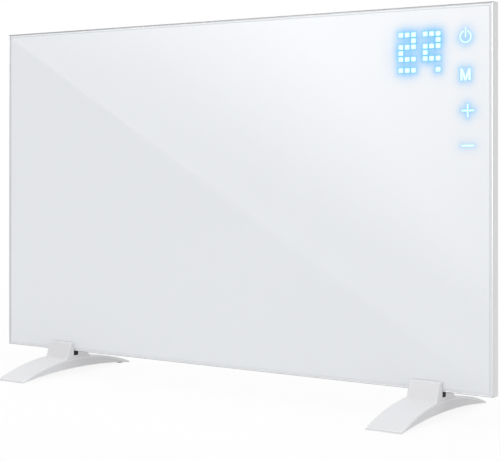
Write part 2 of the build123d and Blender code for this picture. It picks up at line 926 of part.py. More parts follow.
def board_place(column, row):
    """X and height of a share of the circuit board's width and height."""
    x = circuit_x + (column - 0.5) * circuit_width
    return x, circuit_bottom + row * circuit_height


def board_part(size, column, row):
    """Block standing on the circuit board, centred at a column and row."""
    x, height = board_place(column, row)
    wide, deep, tall = size
    depth = (circuit_back, circuit_back + deep)
    return panel_block((x - wide / 2, x + wide / 2), depth, (height - tall / 2, height + tall / 2))


def power_relay():
    """Relay case with softened edges."""
    relay = board_part(relay_size, part_column_left, part_row_upper)
    return fillet(relay.faces().sort_by(Axis.Y)[-1].edges(), component_round)


def power_module():
    """Potted power supply block."""
    module = board_part(power_module_size, part_column_right, part_row_upper)
    return fillet(module.faces().sort_by(Axis.Y)[-1].edges(), component_round)


def capacitor():
    """Upright can with a rolled edge."""
    x, height = board_place(part_column_left, part_row_middle)
    can = rod(x, (circuit_back, circuit_back + capacitor_length), height, capacitor_radius)
    return fillet(can.faces().sort_by(Axis.Y)[-1].edges(), component_round)


def fuse():
    """Glass fuse lying on the board, with an end cap each side."""
    x, height = board_place(part_column_right, part_row_middle)
    cap_radius = fuse_radius + fuse_cap_wall
    y = panel_front + circuit_back + cap_radius
    lying = Pos(x, y, panel_lift + height) * Rot(0, 90, 0)
    tube = lying * Cylinder(fuse_radius, fuse_length)
    for side in (-1, 1):
        shift = side * (fuse_length - fuse_cap_length) / 2
        tube += lying * Pos(0, 0, shift) * Cylinder(cap_radius, fuse_cap_length)
    return tube


def buzzer():
    """Round sounder with a hole in its face."""
    x, height = board_place(part_column_left, part_row_lower)
    back = circuit_back + buzzer_height
    can = rod(x, (circuit_back, back), height, buzzer_radius)
    return can - rod(x, (back - buzzer_height / 2, back), height, buzzer_hole_radius)


terminal_front = lead_depth - terminal_depth / 2


def terminal_block():
    """Two-way screw terminal on the circuit board's lower edge."""
    x = (circuit_x - terminal_width / 2, circuit_x + terminal_width / 2)
    height = (circuit_bottom, circuit_bottom + terminal_height)
    back = terminal_front + terminal_depth
    block_body = panel_block(x, (circuit_back, back), height)
    for side in (-1, 1):
        px = circuit_x + side * terminal_pitch / 2
        entry = Pos(px, panel_front + lead_depth, panel_lift + circuit_bottom + lead_entry / 2)
        block_body -= entry * Cylinder(lead_radius + lead_entry_gap, lead_entry)
        middle = circuit_bottom + terminal_height / 2
        block_body -= rod(px, (back - terminal_screw_depth, back), middle, terminal_screw_radius)
    return block_body


def heater_leads():
    """Insulated leads from the cut-out and the outer bus bar, through the back, to the terminals."""
    leads = []
    y_turn = panel_front + lead_depth
    starts = (bus_back + cutout_leg_thickness, bus_back)
    for side, start, (x, height) in zip((-1, 1), starts, lead_places()):
        z = panel_lift + height
        px = circuit_x + side * terminal_pitch / 2
        end = panel_lift + circuit_bottom + lead_entry
        route = FilletPolyline(
            (x, panel_front + start, z),
            (x, y_turn, z),
            (px, y_turn, z),
            (px, y_turn, end),
            radius=[lead_first_bend, lead_last_bend],
        )
        leads.append(sweep(Plane(route @ 0, z_dir=route % 0) * Circle(lead_radius), path=route))
    return group(leads)


def lead_grommets():
    """Rubber bushes round the leads in the back cover and the box's floor."""
    bushes = []
    for x, height in lead_places():
        bush = rod(x, (cover_front, box_floor), height, grommet_radius)
        flange = (box_floor, box_floor + grommet_flange_thickness)
        bush += rod(x, flange, height, grommet_radius + grommet_flange)
        hole = (cover_front, box_floor + grommet_flange_thickness)
        bushes.append(bush - rod(x, hole, height, lead_radius))
    return group(bushes)


def room_sensor():
    """Sensor bead on two legs below the circuit board."""
    x = circuit_x - terminal_width
    legs = []
    for side in (-1, 1):
        px = x + side * sensor_leg_pitch / 2
        half = sensor_leg_width / 2
        reach = (circuit_bottom - sensor_leg_length, circuit_bottom + sensor_leg_length / 2)
        depth = (circuit_back, circuit_back + sensor_leg_width)
        legs.append(panel_block((px - half, px + half), depth, reach))
    y = panel_front + circuit_back + sensor_leg_width / 2
    bead = Pos(x, y, panel_lift + circuit_bottom - sensor_leg_length) * Sphere(sensor_bead_radius)
    return bead + legs[0] + legs[1]


# ---------------------------------------------------------------- power switch
switch_face_x = box_right + switch_flange_thickness
switch_pivot_x = switch_face_x - rocker_pivot_depth
switch_place = (panel_front + switch_depth, panel_lift + switch_h)


def rocker():
    """Rocker with a bent face and side pins, at rest in its ON position."""
    half = rocker_length / 2
    shoulder = rocker_end_rise - rocker_end_thickness
    side = [
        (rocker_end_rise, half - rocker_gap),
        (shoulder, half),
        (-rocker_depth, half / 2),
    ]
    face = polygon([(rocker_rise, 0)] + side + [(x, -z) for x, z in reversed(side)])
    plane = Plane((0, rocker_width / 2, 0), x_dir=(1, 0, 0), z_dir=(0, -1, 0))
    body = extrude(plane * face, amount=rocker_width)
    pin_length = rocker_width + 2 * rocker_pin_reach
    body += Rot(90, 0, 0) * Cylinder(rocker_pin_radius, pin_length)
    return Pos(switch_pivot_x, *switch_place) * Rot(0, rocker_tilt, 0) * body


def rocker_frame():
    """Switch body in the wall: flange, sleeve and closed back."""
    inside = -switch_flange_thickness - switch_body_depth
    w = switch_half_w
    h = switch_half_h
    frame = block((inside, 0), (-w, w), (-h, h))
    flange_w = w + switch_flange
    flange_h = h + switch_flange
    frame += block((-switch_flange_thickness, 0), (-flange_w, flange_w), (-flange_h, flange_h))
    frame = fillet(frame.edges().filter_by(Axis.X).group_by(Axis.X)[-1], switch_flange / 2)
    inner_w = w - switch_wall
    inner_h = h - switch_wall
    frame -= block((inside + switch_wall, 0), (-inner_w, inner_w), (-inner_h, inner_h))
    pin_length = rocker_width + 2 * (rocker_pin_reach + rocker_gap)
    seat = Cylinder(rocker_pin_radius + rocker_pin_gap, pin_length)
    frame -= Pos(-rocker_pivot_depth, 0, 0) * Rot(90, 0, 0) * seat
    return Pos(switch_face_x, *switch_place) * frame


# ---------------------------------------------------------------- cable gland
def gland_body():
    """Sleeve through the box's lower wall with a domed cap below it."""
    wall_low = panel_lift + box_bottom
    sleeve = Pos(gland_x, gland_y, wall_low + gland_sleeve_length / 2)
    body = sleeve * Cylinder(gland_sleeve_radius, gland_sleeve_length)
    cap = Cylinder(gland_cap_radius, gland_cap_length)
    cap = Pos(gland_x, gland_y, wall_low - gland_cap_length / 2) * cap
    body += fillet(cap.faces().sort_by(Axis.Z)[0].edges(), gland_cap_round)
    length = gland_sleeve_length + gland_cap_length
    bore = Pos(gland_x, gland_y, gland_top - length / 2) * Cylinder(gland_bore_radius, length)
    return body - bore


def gland_nut():
    """Hexagonal nut inside the box."""
    low = panel_lift + box_bottom + box_wall
    plane = Plane((gland_x, gland_y, low))
    nut = extrude(plane * RegularPolygon(gland_nut_radius, 6), amount=gland_nut_length)
    hole = Pos(gland_x, gland_y, low + gland_nut_length / 2)
    return nut - hole * Cylinder(gland_sleeve_radius, gland_nut_length)


# ---------------------------------------------------------------- tip-over switch
tilt_x, tilt_h = board_place(part_column_right, part_row_lower)
tilt_axis_h = tilt_h + tilt_height / 2 - tilt_pin_drop
tilt_axis_depth = (circuit_back + tilt_base + lid_front) / 2


def tilt_case():
    """Bracket with two cheeks that carry the pendulum's pin."""
    outer = tilt_width / 2 + tilt_cheek
    height = (tilt_h - tilt_height / 2, tilt_h + tilt_height / 2)
    case = panel_block((tilt_x - outer, tilt_x + outer), (circuit_back, circuit_back + tilt_base), height)
    far = 2 * tilt_axis_depth - circuit_back - tilt_base - tilt_side_gap
    for side in (-1, 1):
        x = sorted((tilt_x + side * tilt_width / 2, tilt_x + side * outer))
        case += panel_block(x, (circuit_back, far), height)
    return case - tilt_axle(tilt_pin_radius)


def tilt_axle(radius):
    """Cylinder along X through both cheeks."""
    place = Pos(tilt_x, panel_front + tilt_axis_depth, panel_lift + tilt_axis_h)
    return place * Rot(0, 90, 0) * Cylinder(radius, tilt_width + 2 * tilt_cheek)


def tilt_pendulum():
    """Eye, arm and bob that hang from the pin."""
    place = Pos(tilt_x, panel_front + tilt_axis_depth, panel_lift + tilt_axis_h)
    half = tilt_arm_width / 2
    swing = place * Rot(0, 90, 0) * Cylinder(tilt_eye_radius, tilt_arm_width)
    swing += place * block((-half, half), (-half / 2, half / 2), (-tilt_arm_length, 0))
    bob = Rot(0, 90, 0) * Cylinder(tilt_bob_radius, tilt_bob_length)
    swing += place * Pos(0, 0, -tilt_arm_length) * bob
    return swing - tilt_axle(tilt_pin_radius + tilt_pin_gap)


# ---------------------------------------------------------------- feet
def under_arch():
    """Underside of the arched plate, down to the moulding's lowest level, and its half length."""
    radius = foot_radius - foot_plate
    reach = math.sqrt(radius**2 - (foot_stand - foot_arc_centre) ** 2)
    crown = (0, foot_arc_centre + radius)
    return ThreePointArc((-reach, foot_stand), crown, (reach, foot_stand)), reach


def plate_face():
    """Side view of the arched plate."""
    half = foot_length / 2
    under, reach = under_arch()
    return make_face([
        ThreePointArc((-half, foot_tip_height), (0, foot_crown), (half, foot_tip_height)),
        Line((half, foot_tip_height), (half, foot_stand)),
        Line((half, foot_stand), (reach, foot_stand)),
        under,
        Line((-reach, foot_stand), (-half, foot_stand)),
        Line((-half, foot_stand), (-half, foot_tip_height)),
    ])


def hollow_face():
    """Side view of the whole space under the plate."""
    under, reach = under_arch()
    return make_face([under, Line((-reach, foot_stand), (reach, foot_stand))])


def skirt_face():
    """Side view of a skirt: a crescent from tip to tip."""
    under, reach = under_arch()
    lower = ThreePointArc((-reach, foot_stand), (0, foot_arch_rise), (reach, foot_stand))
    return make_face([under, lower])


def surface_height(y):
    """Height of the arched plate's top at y."""
    return foot_arc_centre + math.sqrt(foot_radius**2 - y**2)


def knee_points(outer, blend):
    """Where a jaw's outer face meets the plate, and the toe that blends into the plate."""
    toe = outer + blend
    height = surface_height(toe)
    return [(outer, surface_height(outer)), (toe, height), (toe, height - jaw_embed)]


def front_jaw_face():
    """Side view of the jaw in front of the glass."""
    inner = jaw_inner_front
    knee = knee_points(inner - jaw_front_bottom, -jaw_toe)
    face = polygon([
        (inner, foot_crown - jaw_embed),
        (inner, jaw_top),
        (inner - jaw_front_top, jaw_top),
        *knee,
    ])
    return fillet(nearest(face, knee[:1]), jaw_fillet)


def back_jaw_face():
    """Side view of the jaw behind the panel, with its shoulder under the rail."""
    inner = jaw_inner_back
    shoulder = panel_lift - jaw_shoulder_gap
    knee = knee_points(inner + jaw_back_bottom, jaw_back_toe)
    face = polygon([
        (jaw_shoulder_y, foot_crown - jaw_embed),
        (jaw_shoulder_y, shoulder),
        (inner, shoulder),
        (inner, jaw_top),
        (inner + jaw_back_top, jaw_top),
        *knee,
    ])
    return fillet(nearest(face, knee[:1]), jaw_back_fillet)


def jaw_span():
    """X range of the jaws about the foot's middle: flush with the plate's right edge."""
    right = foot_width / 2
    return right - jaw_width, right


def jaw(face, toward):
    """Jaw cut to its rounded front view, with the rim of its outer face rounded."""
    low, high = jaw_span()
    front = area((low, high), (0, jaw_top))
    front = fillet(nearest(front, [(low, jaw_top)]), jaw_corner)
    front = fillet(nearest(front, [(high, jaw_top)]), jaw_round)
    plane = Plane((0, foot_length / 2, 0), x_dir=(1, 0, 0), z_dir=(0, -1, 0))
    solid = across(face, low, high) & extrude(plane * front, amount=foot_length)
    inner = jaw_inner_front if toward < 0 else jaw_inner_back
    rim = [e for e in solid.edges() if on_rim(e, toward, inner)]
    return fillet(rim, jaw_round)


def on_rim(edge, toward, inner):
    """Whether an edge of a jaw runs round its outer face, above the plate."""
    middle = edge.center()
    along = edge.tangent_at(0.5)
    outside = toward * (middle.Y - inner) > jaw_shoulder_gap
    crosses = abs(along.Y) > 0.99 or (abs(along.X) > 0.99 and middle.Z < jaw_top - jaw_round)
    toe_end = abs(along.Z) > 0.999 and middle.Z < foot_crown
    return outside and middle.Z > foot_crown - jaw_embed and not crosses and not toe_end


def foot(x):
    """One moulded foot: arched plate, skirts, ribs, jaws and seats for pads and insert."""
    half = foot_width / 2
    plate = across(plate_face(), -half, half)
    rim = [e for e in plate.edges().filter_by(GeomType.CIRCLE) if e.radius > foot_radius - foot_plate / 2]
    tips = plate.edges().filter_by(Axis.X).group_by(Axis.Z)[-1]
    body = fillet(rim + list(tips), foot_edge_radius)
    outer = half - foot_skirt_inset
    for side in (-1, 1):
        body += across(skirt_face(), *sorted((side * outer, side * (outer - foot_skirt))))
    core = across(skirt_face(), -outer, outer)
    for i in range(foot_rib_count):
        y = (i - (foot_rib_count - 1) / 2) * foot_rib_spacing
        body += core & block((-outer, outer), (y - foot_skirt / 2, y + foot_skirt / 2), (0, foot_crown))
    hollow = across(hollow_face(), -pad_width / 2, pad_width / 2)
    for y in pad_spans():
        body += hollow & block((-outer, outer), y, (pad_thickness, foot_crown))
    body += jaw(front_jaw_face(), -1)
    body += jaw(back_jaw_face(), 1)
    body += block(jaw_span(), (jaw_inner_front, jaw_shoulder_y), (foot_crown - jaw_embed, saddle_top))
    body -= seat_block()
    body -= clamp_rod(clamp_insert_radius, jaw_inner_back, knob_front)
    return Pos(x, 0, 0) * body


def pad_spans():
    """Y ranges of the two rubber pads."""
    outer = foot_length / 2 - pad_tip_inset
    return [(-outer, -outer + pad_length), (outer - pad_length, outer)]


def clamp_rod(radius, y_low, y_high):
    """Cylinder along Y on the clamp screw's axis, for a foot at X = 0."""
    low, high = jaw_span()
    plane = Plane(((low + high) / 2, y_high, clamp_height), x_dir=(1, 0, 0), z_dir=(0, -1, 0))
    return extrude(plane * Circle(radius), amount=y_high - y_low)


def seat_block():
    """Rubber seat of a foot at X = 0: a block under the rail and a lip up the front jaw."""
    low, high = jaw_span()
    span = (low + seat_inset, high - seat_inset)
    floor = saddle_top - seat_pocket
    seat = block(span, (jaw_inner_front, jaw_shoulder_y), (floor, panel_lift - seat_gap))
    lip_top = jaw_top - jaw_round
    return seat + block(span, (jaw_inner_front, panel_front - seat_gap), (floor, lip_top))


def foot_seat(x):
    """Rubber seat under the panel's edge."""
    return Pos(x, 0, 0) * seat_block()


def floor_pads(x):
    """Rubber pads under the foot's two tips."""
    half = pad_width / 2
    return group([Pos(x, 0, 0) * block((-half, half), y, (0, pad_thickness)) for y in pad_spans()])


def clamp_insert(x):
    """Threaded brass sleeve in the back jaw."""
    high = jaw_inner_back + clamp_insert_length
    sleeve = clamp_rod(clamp_insert_radius, jaw_inner_back, high)
    return Pos(x, 0, 0) * (sleeve - clamp_rod(clamp_stud_radius + clamp_stud_gap, jaw_inner_back, high))


def clamp_plate(x):
    """Steel plate that the clamp screw presses against the panel's back."""
    low, high = jaw_span()
    middle = (low + high) / 2
    half = clamp_plate_width / 2
    base = panel_lift + clamp_plate_rise
    y = (panel_back, panel_back + clamp_plate_thickness)
    plate = block((middle - half, middle + half), y, (base, base + clamp_plate_height))
    return Pos(x, 0, 0) * fillet(plate.edges().filter_by(Axis.Y), clamp_plate_corner)


def clamp_stud(x):
    """Threaded stud from the clamp plate into the knob."""
    start = panel_back + clamp_plate_thickness
    return Pos(x, 0, 0) * clamp_rod(clamp_stud_radius, start, knob_front + clamp_stud_fit)


def clamp_knob(x):
    """Lobed knob moulded on the stud."""
    knob = clamp_rod(clamp_knob_radius, knob_front, knob_front + clamp_knob_length)
    knob = fillet(knob.edges(), clamp_knob_round)
    low, high = jaw_span()
    for i in range(clamp_knob_lobes):
        angle = 2 * math.pi * (i + 0.5) / clamp_knob_lobes
        reach = clamp_knob_radius + clamp_knob_scallop / 2
        centre = Pos((low + high) / 2 + reach * math.cos(angle), 0, clamp_height + reach * math.sin(angle))
        y_middle = Pos(0, knob_front + clamp_knob_length / 2, 0)
        knob -= centre * y_middle * Rot(90, 0, 0) * Cylinder(clamp_knob_scallop, clamp_knob_length)
    knob -= clamp_rod(clamp_stud_radius, knob_front, knob_front + clamp_stud_fit)
    return Pos(x, 0, 0) * knob


# ---------------------------------------------------------------- nodes
nodes = frame_rails()
nodes["corner_keys"] = corner_keys()
nodes["glass_panel"] = glass_panel()
nodes["glass_tape"] = glass_tape()
nodes["display_digits"] = display_digits()
nodes["key_marks"] = key_marks()
nodes["heating_film"] = layer(glass_back, film_back)
nodes["bus_bar_outer"] = bus_bar_outer()
nodes["bus_bar_inner"] = bus_bar_inner()
nodes["mica_sheet"] = layer(bus_back, mica_back)
nodes["reflector_foil"] = layer(mica_back, foil_back)
nodes["insulation_board"] = insulation_board()
nodes["overheat_cutout"] = overheat_cutout()
nodes["back_cover"] = back_cover()
nodes["cover_screws"] = group(cover_screws())
nodes["wall_inserts"] = wall_inserts()
nodes["light_mask"] = light_mask()
nodes["display_board"] = display_board()
nodes["display_leds"] = display_leds()
nodes["touch_pads"] = touch_pads()
nodes["infrared_receiver"] = infrared_receiver()
nodes["ribbon_cable"] = ribbon_cable()
nodes["box_base"] = box_base()
nodes["box_lid"] = box_lid()
nodes["lid_screws"] = group([lid_screw(x, h) for x, h in box_screw_places()])
nodes["circuit_board"] = circuit_board()
nodes["power_relay"] = power_relay()
nodes["power_module"] = power_module()
nodes["capacitor"] = capacitor()
nodes["fuse"] = fuse()
nodes["buzzer"] = buzzer()
nodes["terminal_block"] = terminal_block()
nodes["heater_leads"] = heater_leads()
nodes["lead_grommets"] = lead_grommets()
nodes["room_sensor"] = room_sensor()
nodes["rocker"] = rocker()
nodes["rocker_frame"] = rocker_frame()
nodes["gland_body"] = gland_body()
nodes["gland_nut"] = gland_nut()
nodes["tilt_case"] = tilt_case()
nodes["tilt_pin"] = tilt_axle(tilt_pin_radius)
nodes["tilt_pendulum"] = tilt_pendulum()
for side, x in (("left", -half_width + foot_left_inset), ("right", half_width - foot_right_inset)):
    nodes["foot_" + side] = foot(x)
    nodes["foot_seat_" + side] = foot_seat(x)
    nodes["floor_pads_" + side] = floor_pads(x)
    nodes["clamp_insert_" + side] = clamp_insert(x)
    nodes["clamp_plate_" + side] = clamp_plate(x)
    nodes["clamp_stud_" + side] = clamp_stud(x)
    nodes["clamp_knob_" + side] = clamp_knob(x)

os.makedirs("parts", exist_ok=True)
for name, shape in nodes.items():
    export_step(shape, os.path.join("parts", name + ".step"))
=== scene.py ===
import json
import logging
import math
from dataclasses import dataclass, field
from enum import Enum
from itertools import product
from typing import Any, Iterable, NamedTuple, Sequence

import bmesh
import bpy
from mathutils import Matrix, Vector


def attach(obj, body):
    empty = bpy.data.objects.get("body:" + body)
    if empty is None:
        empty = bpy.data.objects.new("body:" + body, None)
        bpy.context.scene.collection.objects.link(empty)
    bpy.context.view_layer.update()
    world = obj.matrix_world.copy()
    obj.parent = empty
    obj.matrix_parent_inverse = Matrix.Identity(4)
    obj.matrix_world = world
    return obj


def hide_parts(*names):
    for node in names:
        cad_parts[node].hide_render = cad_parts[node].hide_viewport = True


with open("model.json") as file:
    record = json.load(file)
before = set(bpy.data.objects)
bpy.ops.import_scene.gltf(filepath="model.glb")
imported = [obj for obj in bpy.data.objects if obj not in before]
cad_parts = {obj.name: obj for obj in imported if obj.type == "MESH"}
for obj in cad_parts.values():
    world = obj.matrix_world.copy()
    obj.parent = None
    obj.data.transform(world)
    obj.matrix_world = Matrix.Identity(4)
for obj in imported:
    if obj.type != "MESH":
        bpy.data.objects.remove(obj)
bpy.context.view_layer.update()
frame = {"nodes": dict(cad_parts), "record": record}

LOG = logging.getLogger("panel_heater")
MM = 0.001

Point = tuple[float, float, float]
Flat = tuple[float, float]
Tone = tuple[float, float, float]
Colour = tuple[float, float, float, float]
Row = tuple[float, float, float, float]
Numbers = tuple[float, ...]
Grid = tuple[Numbers, Numbers]
Inputs = dict[Any, Any]
Fixed = tuple[tuple[str, float], ...]
Socket = bpy.types.NodeSocket
Material = bpy.types.Material
Paints = dict[str, Material]

NOISE_MIDDLE: Flat = (0.3, 0.7)
WHITE: Colour = (1.0, 1.0, 1.0, 1.0)
BLACK: Colour = (0.0, 0.0, 0.0, 1.0)


class Body(Enum):
    """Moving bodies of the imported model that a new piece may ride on."""

    PANEL = "panel"
    ROCKER = "rocker"


# -- finishes
class Noise(NamedTuple):
    """Soft noise: features to the metre, octaves of detail, and stretch along each axis."""

    scale: float
    detail: float = 4.0
    stretch: Point = (1.0, 1.0, 1.0)


class Relief(NamedTuple):
    """Surface relief: its depth in metres, and how strongly it shades."""

    depth: float
    strength: float = 0.5


class Desk:
    """Lays out the shader nodes of one material or world."""

    def __init__(self, name: str, world: bool = False) -> None:
        """Starts a material or a world with nothing but its output."""
        self.owner = (bpy.data.worlds if world else bpy.data.materials).new(name)
        self.owner.use_nodes = True
        self.tree = self.owner.node_tree
        self.tree.nodes.clear()
        self.output = self.add("ShaderNodeOutputWorld" if world else "ShaderNodeOutputMaterial")

    def add(self, kind: str, inputs: Inputs | None = None, **settings: Any) -> bpy.types.Node:
        """Adds a node.

        Args:
            kind: Blender's name of the node type.
            inputs: socket name or number to a value, or to a socket that feeds it.
            **settings: properties of the node itself.

        Returns:
            The new node.
        """
        node = self.tree.nodes.new(kind)
        for name, value in settings.items():
            setattr(node, name, value)
        for name, value in (inputs or {}).items():
            if isinstance(value, Socket):
                self.tree.links.new(value, node.inputs[name])
            else:
                node.inputs[name].default_value = value
        return node

    def place(self, stretch: Point = (1.0, 1.0, 1.0)) -> Socket:
        """Coordinates fixed to the piece, scaled by stretch along each axis."""
        coords = self.add("ShaderNodeTexCoord").outputs["Object"]
        return self.add("ShaderNodeMapping", {"Vector": coords, "Scale": stretch}).outputs["Vector"]

    def trait(self, name: str) -> Socket:
        """A value that the mesh carries under that name; 0 where it carries none."""
        return self.add("ShaderNodeAttribute", attribute_name=name).outputs["Fac"]

    def clouds(self, noise: Noise) -> Socket:
        """A noise, from 0 to 1."""
        inputs = {"Vector": self.place(noise.stretch), "Scale": noise.scale, "Detail": noise.detail}
        return self.add("ShaderNodeTexNoise", inputs).outputs["Fac"]

    def remap(self, value: Socket, low: Any, high: float, start: float = 0.0, stop: float = 1.0) -> Socket:
        """Maps the span from start to stop onto the span from low to high, and holds its ends."""
        inputs = {"Value": value, "From Min": start, "From Max": stop, "To Min": low, "To Max": high}
        return self.add("ShaderNodeMapRange", inputs).outputs["Result"]

    def spread(self, noise: Noise | Socket, low: float = 0.0, high: float = 1.0) -> Socket:
        """Maps the middle of a noise's swing onto the span from low to high."""
        value = self.clouds(noise) if isinstance(noise, Noise) else noise
        return self.remap(value, low, high, *NOISE_MIDDLE)

    def mix(self, share: Socket, first: Any, second: Any) -> Socket:
        """Colour that goes from first to second as share goes from 0 to 1."""
        return self.add("ShaderNodeMix", {0: share, 6: first, 7: second}, data_type="RGBA").outputs[2]

    def bump(self, height: Socket, relief: Relief) -> Socket:
        """Relief that a height from 0 to 1 gives."""
        inputs = {"Height": height, "Distance": relief.depth, "Strength": relief.strength}
        return self.add("ShaderNodeBump", inputs).outputs["Normal"]

    def rims(self, width: float, sharpest: float = 0.08, samples: int = 6) -> Socket:
        """1 along the rounded outer edges of a piece, within a width in metres, and 0 on its flats."""
        rounded = self.add("ShaderNodeBevel", {"Radius": width}, samples=samples).outputs[0]
        flat = self.add("ShaderNodeNewGeometry").outputs["Normal"]
        turn = self.add("ShaderNodeVectorMath", {0: rounded, 1: flat}, operation="DOT_PRODUCT")
        return self.remap(turn.outputs["Value"], 0.0, 1.0, 1.0, 1.0 - sharpest)

    def seen(self) -> Socket:
        """1 for what is looked at, also in a mirror or through glass, and 0 for other light."""
        path = self.add("ShaderNodeLightPath").outputs
        seen = path["Is Camera Ray"]
        for other in ("Is Glossy Ray", "Is Transmission Ray"):
            seen = self.add("ShaderNodeMath", {0: seen, 1: path[other]}, operation="MAXIMUM").outputs[0]
        return seen

    def end(self, kind: str, inputs: Inputs) -> Material | bpy.types.World:
        """Finishes with the shader that feeds the output.

        Args:
            kind: Blender's name of the shader node.
            inputs: values and sockets of the shader.

        Returns:
            The finished material or world.
        """
        shader = self.add(kind, inputs)
        self.tree.links.new(shader.outputs[0], self.output.inputs["Surface"])
        return self.owner


def opaque(tone: Tone, share: float = 1.0) -> Colour:
    """A share of the tone as a full colour value."""
    return (*(c * share for c in tone), 1.0)


@dataclass(frozen=True)
class Finish:
    """One finish: a tone with darker clouds, a roughness that follows its wear, and a fine relief.

    Without clouds or wear of its own it follows the grain, and without swing its roughness is even.
    """

    slot: str
    tone: Tone
    roughness: float = 0.42
    gloss: float = 0.5
    cloud: Noise | None = None
    loss: float = 0.03
    wear: Noise | None = None
    swing: Flat | None = (-0.06, 0.08)
    grain: Noise = Noise(1800.0, 2.0)
    relief: Relief = Relief(0.00003, 0.35)
    fixed: Fixed = ()

    def material(self) -> Material:
        """Builds the finish as a Blender material."""
        desk = Desk(self.slot)
        return desk.end("ShaderNodeBsdfPrincipled", self.inputs(desk))

    def clouded(self, desk: Desk, cloud: Noise | Socket) -> Socket:
        """Its tone, darker by its loss where the clouds are low."""
        return desk.mix(desk.spread(cloud), opaque(self.tone, 1 - self.loss), opaque(self.tone))

    def rough(self, desk: Desk, wear: Noise | Socket) -> Socket | float:
        """Its roughness, moved by the wear from one end of its swing to the other."""
        ends = [self.roughness + end for end in self.swing or ()]
        return desk.spread(wear, *ends) if ends else self.roughness

    def inputs(self, desk: Desk) -> Inputs:
        """Inputs of its shader."""
        grain = desk.clouds(self.grain)
        return {
            "Base Color": self.clouded(desk, self.cloud or grain),
            "Roughness": self.rough(desk, self.wear or grain),
            "Specular IOR Level": self.gloss,
            "Normal": desk.bump(grain, self.relief),
            **dict(self.fixed),
        }


@dataclass(frozen=True)
class Moulded(Finish):
    """Moulded plastic or rubber with a faint flow mottle and a fine spark-eroded grain, and a painted
    highlight along its rounded rims where a rim width is set.
    """

    cloud: Noise = Noise(9.0, 1.0)
    wear: Noise = Noise(24.0, 2.0)
    swing: Flat = (-0.02, 0.03)
    # rim width and rim tone: a painted highlight along the rounded rims
    highlight_rim_width: float = 0.0
    rim_light_tone: Tone = (0.97, 0.97, 0.975)

    def clouded(self, desk: Desk, cloud: Noise | Socket) -> Socket:
        """Its tone, with a painted highlight along the rounded rims of a piece."""
        tone = super().clouded(desk, cloud)
        return desk.mix(desk.rims(self.highlight_rim_width), tone, opaque(self.rim_light_tone)) if self.highlight_rim_width else tone


@dataclass(frozen=True)
class Coated(Finish):
    """Sheet steel under powder coat: orange peel, faint sag of the sheet and a dust of scuffs."""

    roughness: float = 0.38
    cloud: Noise = Noise(5.0, 5.0)
    loss: float = 0.035
    wear: Noise = Noise(35.0, 7.0)
    grain: Noise = Noise(420.0, 2.0)
    relief: Relief = Relief(0.00006, 0.35)
    sag: Noise = Noise(3.5, 1.0)
    sag_relief: Relief = Relief(0.0012, 0.25)

    def inputs(self, desk: Desk) -> Inputs:
        """Inputs of its shader."""
        found = super().inputs(desk)
        sag = desk.bump(desk.clouds(self.sag), self.sag_relief)
        desk.tree.links.new(sag, found["Normal"].node.inputs["Normal"])
        return found


@dataclass(frozen=True)
class Metal(Finish):
    """Bare or plated metal, brushed along one axis where its grain is stretched."""

    roughness: float = 0.34
    cloud: Noise = Noise(22.0, 6.0)
    loss: float = 0.06
    grain: Noise = Noise(700.0, 3.0)
    relief: Relief = Relief(0.00001, 0.4)
    fixed: Fixed = (("Metallic", 1.0),)


@dataclass(frozen=True)
class RailMetal(Metal):
    """Satin anodised aluminium with a painted highlight on its lip, painted shade on its rounded edges, and
    dark mitre joints.
    """

    roughness: float = 0.38
    cloud: Noise = Noise(18.0, 5.0)
    loss: float = 0.035
    swing: Flat = (-0.05, 0.07)
    grain: Noise = Noise(900.0, 3.0, (0.06, 1.0, 0.06))
    # edge tone: painted shade on the rounded edges and the dark mitre joints; lip tone: the lip's painted
    # highlight
    edge_grey_and_shade_tone: Tone = (0.13, 0.13, 0.14)
    lip_highlight_tone: Tone = (0.97, 0.97, 0.98)
    plain_metal: float = 0.3
    lip_metal: float = 0.5

    def inputs(self, desk: Desk) -> Inputs:
        """Inputs of its shader."""
        found = super().inputs(desk)
        # lip carries the painted highlight; edge carries painted shade, full at the dark mitre joints
        lip, edge = desk.trait("lip"), desk.trait("edge")
        # polished holds the lip's painted highlight
        polished = desk.mix(lip, found["Base Color"], opaque(self.lip_highlight_tone))
        metal = desk.remap(lip, self.plain_metal, self.lip_metal)
        return found | {
            "Base Color": desk.mix(edge, polished, opaque(self.edge_grey_and_shade_tone)),
            "Metallic": desk.remap(edge, metal, 0.0),
        }


@dataclass(frozen=True)
class EnamelGlass(Finish):
    """Flat glass with white enamel behind it, the lit windows' blue light painted round them as colour and
    glow, and greyer at its edge with painted shade over the bare bevel.
    """

    roughness: float = 0.015
    cloud: Noise = Noise(2.2, 3.0)
    loss: float = 0.015
    wear: Noise = Noise(14.0, 6.0)
    swing: Flat = (0.0, 0.015)
    grain: Noise = Noise(2.6, 1.0)
    relief: Relief = Relief(0.0004, 0.12)
    # halo tone and halo light: the lit windows' light painted on the glass as base colour and glow
    halo_light_tone: Tone = (0.10, 0.52, 0.93)
    halo_light: Tone = (0.0, 0.03, 0.09)
    # edge tone: grey of the bare bevel with painted shade
    edge_grey_and_shade_tone: Tone = (0.56, 0.59, 0.64)

    def inputs(self, desk: Desk) -> Inputs:
        """Inputs of its shader."""
        found = super().inputs(desk)
        glow, edge = desk.trait("glow"), desk.trait("edge")
        # edge: grey of the bare bevel with painted shade
        enamel = desk.mix(edge, found["Base Color"], opaque(self.edge_grey_and_shade_tone))
        return found | {
            # the marks' blue light painted on the glass as base colour
            "Base Color": desk.mix(glow, enamel, opaque(self.halo_light_tone)),
            "IOR": 1.5,
            "Emission Color": desk.mix(glow, BLACK, opaque(self.halo_light)),
            "Emission Strength": 1.0,
        }


